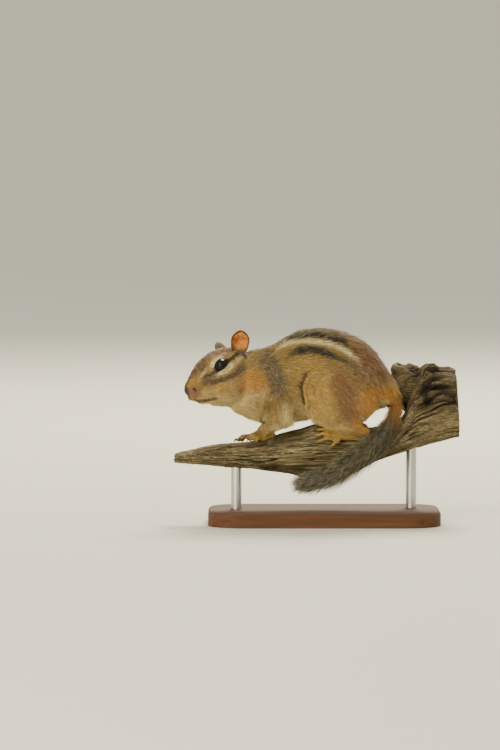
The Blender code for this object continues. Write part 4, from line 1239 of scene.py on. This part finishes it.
def makeEar(word, material):
    place, upright, opening = earPlaces[word]
    bpy.ops.object.select_all(action="DESELECT")
    bpy.ops.mesh.primitive_uv_sphere_add(segments=40, ring_count=28, radius=1)
    ear = bpy.context.object
    ear.name = word + "_ear_cup"
    selectOnly(ear)
    bpy.ops.object.mode_set(mode="EDIT")
    bpy.ops.mesh.select_all(action="SELECT")
    bpy.ops.mesh.bisect(plane_co=(-0.12, 0, 0), plane_no=(1, 0, 0), clear_outer=True)
    bpy.ops.object.mode_set(mode="OBJECT")
    shape = pointsOf(ear)
    edge = ramp(shape[:, 0], -0.5, -0.12)
    fuller = 1 + 0.10 * np.sin(math.pi * np.clip(shape[:, 2], 0, 1)) - 0.08 * ramp(-shape[:, 2], 0.3, 1)
    shape[:, 1] *= fuller * (1 - 0.05 * edge)
    shape[:, 0] *= 1 - 0.25 * ramp(shape[:, 2], 0.1, 0.9)
    ripple = 0.035 * np.sin(shape[:, 2] * 5 + shape[:, 1] * 3)
    shape[:, 0] += ripple * (1 - edge) + 0.10 * np.exp(-(((shape[:, 1] - 0.1) / 0.22) ** 2)) * (1 - edge)
    half = np.array([earSize["depth"], earSize["width"] / 2, earSize["height"] / 2])
    setPoints(ear, shape * half)
    setAttribute(ear.data, "earRim", ramp(edge, 0.0, 0.6))
    # where the cup is deep, for its painted shade
    setAttribute(ear.data, "earCupShade", ramp(-shape[:, 2], 0.1, 0.8))
    applied(ear, "SOLIDIFY", thickness=earSize["wall"], offset=-1)
    applied(ear, "SUBSURF", levels=1, render_levels=1)
    opening = Vector(opening).normalized()
    across = Vector(upright).cross(opening).normalized()
    turn = Matrix((opening, across, opening.cross(across))).transposed().to_4x4()
    setAttribute(ear.data, "earBack", 1 - ramp(normalsOf(ear)[:, 0], -0.25, 0.15))
    ear.data.transform(headMatrix @ Matrix.Translation(place) @ turn)
    smoothShaded(ear)
    ear.data.materials.append(material)
    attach(ear, "root")
    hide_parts(word + "_ear")
    return ear, np.array(headMatrix.to_3x3() @ opening) * 1000, np.array(headMatrix.to_3x3() @ Vector(upright)) * 1000


def earHair(word, ear, opening, upright):
    # short hair over the back of the cup and round its edge, none inside
    rim = np.array([value.value for value in ear.data.attributes["earRim"].data])
    corners = trianglesOf(ear)
    rimOf = rim[corners].mean(axis=1)
    middle = pointsOf(ear).mean(axis=0)
    opening, upright = unit(opening), unit(upright)

    def density(points, normals):
        back = ramp(-(normals @ opening), 0.0, 0.3) + 0.8 * rimOf
        outer = ((points - middle) * normals).sum(axis=1) > 0
        return 13.0 * np.clip(back, 0, 1) * outer

    draw = np.random.default_rng(31 + len(word))
    root, normal = scattered(ear, density, 37)
    count = len(root)
    way = unit(upright - normal * (normal @ upright)[:, None])
    marks = {mark: np.zeros(count) for mark in markNames}
    marks["brown"] = draw.uniform(0.5, 1, count)
    marks["dark"] = draw.uniform(0, 0.6, count)
    marks["tone"] = draw.random(count)
    marks["ticking"] = np.full(count, 0.5)
    tufts = {
        "root": root,
        "normal": normal,
        "way": unit(way + np.cross(normal, way) * draw.normal(0, 0.25, (count, 1))),
        "length": draw.uniform(0.6, 1.2, count) * 0.001,
        "lift": np.radians(draw.uniform(6, 16, count)),
        "width": draw.uniform(0.09, 0.15, count) * 0.001,
        "bend": draw.normal(0, 0.1, count),
        "map": readMap(root),
        "marks": marks,
    }
    growTufts(word + "_ear_hair", tufts, furMaterial)


print("ears")
earFinish = earMaterial()
for word in sides:
    earHair(word, *makeEar(word, earFinish))


# Whiskers

whiskerRows = {"rows": 4, "inRow": 5, "longest": 24, "shortest": 11, "width": 0.085}


def makeWhiskers():
    draw = np.random.default_rng(41)
    rows = []
    tree = treeOf(skin)
    for side in (-1, 1):
        for row in range(whiskerRows["rows"]):
            for i in range(whiskerRows["inRow"]):
                back = 5.2 + i * 1.25 + row * 0.3 + draw.normal(0, 0.12)
                up = -2.6 - row * 1.35 + draw.normal(0, 0.1)
                start = headMatrix @ Vector((back, side * 25, up))
                inward = headMatrix.to_3x3() @ Vector((0, -side, 0))
                spot, normal, _, _ = tree.ray_cast(start, inward)
                length = whiskerRows["shortest"] + (whiskerRows["longest"] - whiskerRows["shortest"]) * i / 4
                way = headMatrix.to_3x3() @ Vector((0.75, side * 0.75, 0.18 - 0.28 * row))
                rows.append((spot, normal, way, length * draw.uniform(0.85, 1.1)))
    spots, normals, ways, lengths = (np.array(column) for column in zip(*rows))
    count = len(spots)
    ways = unit(ways)
    away = unit(normals)
    along = unit(ways - away * (ways * away).sum(axis=1, keepdims=True))
    marks = {mark: np.zeros(count) for mark in (*markNames, "tone", "ticking")}
    return {
        "root": spots,
        "normal": away,
        "way": along,
        "length": lengths * 0.001,
        "lift": np.radians(draw.uniform(32, 46, count)),
        "width": np.full(count, whiskerRows["width"] * 0.001),
        "bend": draw.normal(0, 0.1, count),
        "map": readMap(spots),
        "marks": marks,
    }


def whiskerMaterial():
    # stiff horn-like hair, dark at the root and paler to the tip, with a little gloss
    material, tree, shader = startMaterial("whisker_horn", Roughness=0.3, IOR=1.55)
    colour = mixColour(tree, readMark(tree, "along"), "#1b1512", "#5a4c3e")
    tree.links.new(colour, shader.inputs["Base Color"])
    return material


print("whiskers")
whiskerRings = tuple(i / 7 for i in range(7))
growTufts("whiskers", makeWhiskers(), whiskerMaterial(), ringShares=whiskerRings, widest=0.02, flatness=0.85)


# Claws

def clawMaterial():
    # horn: dark brown with paler streaks
    material, tree, shader = startMaterial("claw_horn", Roughness=0.38, IOR=1.54)
    place = addNode(tree, "ShaderNodeTexCoord").outputs["Object"]
    streaks = addNode(tree, "ShaderNodeTexNoise", [(place, "Vector")], Scale=1800, Detail=2.0)
    colour = mixColour(tree, streaks.outputs["Fac"], "#2b2018", "#6a563f")
    tree.links.new(colour, shader.inputs["Base Color"])
    return material


def makeClaws(name, material):
    matrix = pawMatrix(name)
    claws = []
    for at, _, _ in toesOf(name):
        route = [(*at(0.84, 1.3), 0.4), (*at(0.98, 1.55), 0.42), (*at(1.12, 1.3), 0.32), (*at(1.24, 0.4), 0.06)]
        claws.append(addStrand(matrix, route, 9))
    piece = joined(name + "_claws", claws)
    smoothShaded(piece)
    piece.data.materials.append(material)
    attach(piece, "root")


print("claws")
clawFinish = clawMaterial()
for name in pawPlaces:
    makeClaws(name, clawFinish)


# Branch: weathered wood with long cracks, its left end broken

branchMiddle = [  # along, middle height, middle across, half height and half width
    (-77.6, -10.3, 1, 2.7, 4.6),
    (-66, -9.4, 0, 4.4, 8.2),
    (-43, -8.7, 0, 7.5, 12.4),
    (-20, -7.9, 0, 11.1, 14.4),
    (3, -6.1, 0, 15.7, 16.6),
    (26, -5.5, 1, 13.1, 17.0),
    (48, 0.1, 5, 9.5, 18.4),
    (60, 12.5, 8, 18.5, 20.4),
    (76, 20.1, 10, 21.5, 21.0),
    (87, 20.1, 11, 19.5, 20.6),
]
barkSize = {
    "voxel": 0.43,
    "kept": 0.7,
    # height in millimetres, period along and waves across
    "relief": {"swells": (0.8, 36, 2.4), "ridges": (0.6, 30, 8.0), "fibres": (0.55, 20, 19.0), "threads": (0.32, 8, 40.0)},
    # depth, period along, waves across, width and how much of the branch is whole
    "cracks": [(1.6, 60, 5.0, 0.08, 0.1), (1.3, 44, 9.0, 0.1, 0.05), (0.8, 28, 17.0, 0.14, 0.05)],
    "rot": (2.6, 8.0),  # depth and period of the hollows of the thick end
}
splinters = {"count": 9, "longest": 5.5, "thickest": 1.7}


def makeSplinters():
    draw = np.random.default_rng(53)
    shards = []
    for i in range(splinters["count"]):
        across = -6 + 12 * i / (splinters["count"] - 1)
        height = -10.2 + draw.uniform(-1.4, 1.4)
        length = splinters["longest"] * draw.uniform(0.4, 1) * (1 - 0.4 * abs(across) / 6)
        start = -70 - draw.uniform(0, 3) + 0.5 * abs(across)
        tip = (start - length, across + 1 + draw.uniform(-1, 1), height + draw.uniform(-1, 1.4), 0.25)
        thick = splinters["thickest"] * draw.uniform(0.6, 1)
        middle = (start - length * 0.5, across * 0.9 + 1, height, thick * 0.8)
        shards.append(addStrand(bodyMatrix, [(start + 6, across * 0.8 + 1, height, thick), middle, tip], 8))
    return shards


def weather(branch):
    points, normals = pointsOf(branch), normalsOf(branch)
    body = carried(bodyMatrix.inverted(), points)
    middle = np.array(branchMiddle, float)
    level, across, tall, wide = (np.interp(body[:, 0], middle[:, 0], middle[:, i]) for i in range(1, 5))
    ring = unit(np.column_stack([(body[:, 1] - across) / wide, (body[:, 2] - level) / tall]))

    def grain(period, waves, seed):
        places = np.column_stack([body[:, 0] / period, ring * waves / 2])
        return wander(places, 1.0, seed)

    height = np.full(len(points), -0.45)
    for seed, (tallness, period, waves) in enumerate(barkSize["relief"].values()):
        height += tallness * grain(period, waves, seed + 1)
    open_ = np.zeros(len(points))
    for seed, (depth, period, waves, width, whole) in enumerate(barkSize["cracks"]):
        line = 1 - ramp(np.abs(grain(period, waves, seed + 7)), 0, width)
        line *= ramp(grain(24, 2.5, seed + 11), whole - 0.2, whole + 0.2)
        height -= depth * line
        open_ = np.maximum(open_, line)
    depth, period = barkSize["rot"]
    rotten = ramp(body[:, 0], 46, 58) * ramp(body[:, 2], 12, 22)
    hollows = ramp(wander(body * (0.6, 1, 1.3), period, 15), 0.05, 0.5) * rotten
    height += rotten * (wander(body * (0.5, 1, 1.4), 2.4, 16) * 0.9 + 0.4 * wander(body, 1.2, 17)) - depth * hollows
    sawn = ramp(normals[:, 0], 0.75, 0.9) * (body[:, 0] > 84)
    outward = np.hypot(body[:, 1] - across, body[:, 2] - level)
    spokes = np.abs(np.sin(1.5 * np.arctan2(ring[:, 1], ring[:, 0]) + 0.7 + 0.3 * wander(body, 5, 19))) * outward / 1.5
    dried = (1 - ramp(spokes, 0.2, 0.7)) * ramp(outward, 2, 4)
    height = height * (1 - sawn) - (0.45 + 1.3 * dried) * sawn
    open_ = np.maximum(open_ * (1 - sawn), dried * sawn)
    underFeet = (body[:, 0] < 44) & (normals[:, 2] > 0.5) & (np.abs(body[:, 1]) < 20)
    height = np.where(underFeet, np.clip(height, -1.6, 0.15), np.minimum(height, 1.2))
    setPoints(branch, points + normals * (height * 0.001)[:, None])
    # painted shade for the low places and the cracks, darkest in the cracks and the deep hollows
    setAttribute(branch.data, "shadeInValleys", ramp(-height, 0.1, 1.5))
    setAttribute(branch.data, "shadeInCracks", np.maximum(ramp(-height, 1.5, 3.0), 0.85 * open_))
    setAttribute(branch.data, "rotten", rotten)
    setAttribute(branch.data, "sawn", sawn)


def woodMaterial():
    # old dead wood without its bark: grey-brown, dull, with paler fibres, and cracks along the grain that are darkened
    # with painted shade, as are its low places
    material, tree, shader = startMaterial("weathered_branch_wood", Roughness=0.88, Specular_IOR_Level=0.25)
    place = addNode(tree, "ShaderNodeTexCoord").outputs["Object"]
    # fibres about 0.5 mm across and 20 mm long
    grain = addNode(tree, "ShaderNodeMapping", [(place, "Vector")], Scale=(50, 1900, 1900)).outputs["Vector"]
    fibres = addNode(tree, "ShaderNodeTexNoise", [(grain, "Vector")], Scale=1.0, Detail=6.0, Roughness=0.7)
    broad = addNode(tree, "ShaderNodeMapping", [(place, "Vector")], Scale=(26, 300, 300)).outputs["Vector"]
    bands = addNode(tree, "ShaderNodeTexNoise", [(broad, "Vector")], Scale=1.0, Detail=4.0, Roughness=0.6)
    blotches = addNode(tree, "ShaderNodeTexNoise", [(place, "Vector")], Scale=60, Detail=4.0)
    wood = addNode(tree, "ShaderNodeValToRGB", [(fibres.outputs["Fac"], "Fac")])
    stops = [(0.34, "#33281a"), (0.45, "#665a40"), (0.55, "#8a815f"), (0.66, "#b3ab88")]
    while len(wood.color_ramp.elements) < len(stops):
        wood.color_ramp.elements.new(0.5)
    for element, (spot, code) in zip(wood.color_ramp.elements, stops):
        element.position = spot
        element.color = hexColour(code)
    brown = addNode(tree, "ShaderNodeMapRange", [(bands.outputs["Fac"], "Value")], From_Min=0.4, From_Max=0.64)
    colour = mixColour(tree, combine(tree, "MULTIPLY", brown.outputs["Result"], 0.65), wood.outputs["Color"], "#4a3a22")
    damp = addNode(tree, "ShaderNodeMapRange", [(blotches.outputs["Fac"], "Value")], From_Min=0.52, From_Max=0.66)
    colour = mixColour(tree, combine(tree, "MULTIPLY", damp.outputs["Result"], 0.4), colour, "#37291a")
    colour = mixColour(tree, combine(tree, "MULTIPLY", readMark(tree, "rotten"), 0.55), colour, "#3a2c1c")
    # painted shade in the low places and the cracks
    colour = mixColour(tree, combine(tree, "MULTIPLY", readMark(tree, "shadeInValleys"), 0.75), colour, "#2e2315")
    colour = mixColour(tree, readMark(tree, "shadeInCracks"), colour, "#150f0a")
    # growth rings about 1 mm apart on the sawn end, round the branch's middle there
    heart = addNode(
        tree, "ShaderNodeMapping", [(place, "Vector")], Location=(0, -0.011, -0.0676), Scale=(0, 1, 1)
    ).outputs["Vector"]
    rings = addNode(
        tree, "ShaderNodeTexWave", [(heart, "Vector")], wave_type="RINGS", rings_direction="SPHERICAL",
        Scale=330, Distortion=13.0, Detail=3.0, Detail_Scale=0.3,
    )
    sawn = mixColour(tree, rings.outputs["Fac"], "#5a4c33", "#7d6e50")
    dirt = addNode(tree, "ShaderNodeTexNoise", [(place, "Vector")], Scale=420, Detail=5.0, Roughness=0.7)
    soiled = addNode(tree, "ShaderNodeMapRange", [(dirt.outputs["Fac"], "Value")], From_Min=0.4, From_Max=0.7)
    sawn = mixColour(tree, combine(tree, "MULTIPLY", soiled.outputs["Result"], 0.75), sawn, "#3d3322")
    # painted shade in the drying cracks of the sawn end
    sawn = mixColour(tree, combine(tree, "MULTIPLY", readMark(tree, "shadeInCracks"), 0.9), sawn, "#150f0a")
    colour = mixColour(tree, readMark(tree, "sawn"), colour, sawn)
    tree.links.new(colour, shader.inputs["Base Color"])
    bump = addNode(tree, "ShaderNodeBump", [(fibres.outputs["Fac"], "Height")], Strength=0.7, Distance=0.0005)
    tree.links.new(bump.outputs["Normal"], shader.inputs["Normal"])
    return material


def makeBranch():
    branch = joined("weathered_branch", [copyOfNode("perch_branch"), *makeSplinters()])
    applied(branch, "REMESH", mode="VOXEL", voxel_size=barkSize["voxel"] * 0.001)
    applied(branch, "SMOOTH", factor=0.5, iterations=3)
    weather(branch)
    applied(branch, "DECIMATE", ratio=barkSize["kept"])
    smoothShaded(branch)
    branch.data.materials.append(woodMaterial())
    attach(branch, "root")
    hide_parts("perch_branch")
    return branch


print("branch")
branch = makeBranch()
print("branch has", len(trianglesOf(branch)), "triangles")


# Stand

def standMaterials():
    # oiled hardwood with a satin finish, and drawn steel with fine marks round the rod
    wood, tree, shader = startMaterial("oiled_walnut", Roughness=0.6, Specular_IOR_Level=0.2)
    place = addNode(tree, "ShaderNodeTexCoord").outputs["Object"]
    grain = addNode(tree, "ShaderNodeMapping", [(place, "Vector")], Scale=(18, 420, 420)).outputs["Vector"]
    lines = addNode(tree, "ShaderNodeTexNoise", [(grain, "Vector")], Scale=1.0, Detail=5.0, Roughness=0.6)
    colour = mixColour(tree, lines.outputs["Fac"], "#2e1b10", "#6a452b")
    tree.links.new(colour, shader.inputs["Base Color"])
    bump = addNode(tree, "ShaderNodeBump", [(lines.outputs["Fac"], "Height")], Strength=0.15, Distance=0.0002)
    tree.links.new(bump.outputs["Normal"], shader.inputs["Normal"])
    steel, tree, shader = startMaterial("drawn_steel", Metallic=1.0, Base_Color=hexColour("#b9babb"))
    place = addNode(tree, "ShaderNodeTexCoord").outputs["Object"]
    marks = addNode(tree, "ShaderNodeMapping", [(place, "Vector")], Scale=(300, 300, 4000)).outputs["Vector"]
    scratches = addNode(tree, "ShaderNodeTexNoise", [(marks, "Vector")], Scale=1.0, Detail=2.0)
    rough = addNode(tree, "ShaderNodeMapRange", [(scratches.outputs["Fac"], "Value")], To_Min=0.22, To_Max=0.42)
    tree.links.new(rough.outputs["Result"], shader.inputs["Roughness"])
    return {"stand_base": wood, "stand_rod_front": steel, "stand_rod_rear": steel}


for nodeName, material in standMaterials().items():
    node = frame["nodes"][nodeName]
    node.data.materials.clear()
    node.data.materials.append(material)


# Floor, lights and camera

studio = {
    "floor": 12.0, "cells": 120, "flatTo": 2.6, "risenBy": 5.6, "rise": 1.1,  # paper that curves up all round
    "floorColour": "#cbc8bc", "air": "#eae9dd", "airStrength": 1.25,
}
lights = [
    {"name": "key_light", "place": (-0.9, -1.3, 1.2), "size": 0.8, "power": 18, "colour": "#fff1da"},
    {"name": "rim_light", "place": (0.25, 1.2, 1.5), "size": 0.8, "power": 70, "colour": "#fff6dc"},
    {"name": "low_light", "place": (-0.7, -1.3, 0.12), "size": 0.9, "power": 21, "colour": "#fff2d2"},
]
cameraView = {"target": (-0.0422, 0.0, 0.08455), "elevation": 3, "lens": 200, "distance": 2.375}


def makeStudio():
    bpy.ops.object.select_all(action="DESELECT")
    cells = studio["cells"]
    bpy.ops.mesh.primitive_grid_add(x_subdivisions=cells, y_subdivisions=cells, size=studio["floor"])
    floor = bpy.context.object
    floor.name = "floor"
    sheet = pointsOf(floor)
    away = np.hypot(sheet[:, 0], sheet[:, 1])
    sheet[:, 2] = studio["rise"] * ramp(away, studio["flatTo"], studio["risenBy"])
    setPoints(floor, sheet)
    smoothShaded(floor)
    paper, tree, shader = startMaterial("matt_paper", Roughness=0.95, Base_Color=hexColour(studio["floorColour"]))
    floor.data.materials.append(paper)
    floor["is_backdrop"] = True
    for light in lights:
        lamp = bpy.data.lights.new(light["name"], "AREA")
        lamp.size = light["size"]
        lamp.energy = light["power"]
        lamp.color = hexColour(light["colour"])[:3]
        piece = bpy.data.objects.new(light["name"], lamp)
        bpy.context.scene.collection.objects.link(piece)
        piece.location = light["place"]
        aim = Vector(cameraView["target"]) - Vector(light["place"])
        piece.rotation_euler = aim.to_track_quat("-Z", "Y").to_euler()
    world = bpy.data.worlds.new("studio_air")
    world.use_nodes = True
    air = world.node_tree.nodes["Background"]
    air.inputs["Color"].default_value = hexColour(studio["air"])
    air.inputs["Strength"].default_value = studio["airStrength"]
    bpy.context.scene.world = world


def makeCamera():
    camera = bpy.data.objects.new("camera", bpy.data.cameras.new("camera"))
    bpy.context.scene.collection.objects.link(camera)
    camera.data.lens = cameraView["lens"]
    tilt = math.radians(cameraView["elevation"])
    back = Vector((0, -math.cos(tilt), math.sin(tilt)))
    camera.location = Vector(cameraView["target"]) + back * cameraView["distance"]
    camera.rotation_euler = (-back).to_track_quat("-Z", "Y").to_euler()
    bpy.context.scene.camera = camera


print("studio")
makeStudio()
makeCamera()


# Scratch pieces go

for obj in list(bpy.data.objects):
    if obj.type == "MESH" and body_of(obj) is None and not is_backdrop(obj):
        bpy.data.objects.remove(obj)
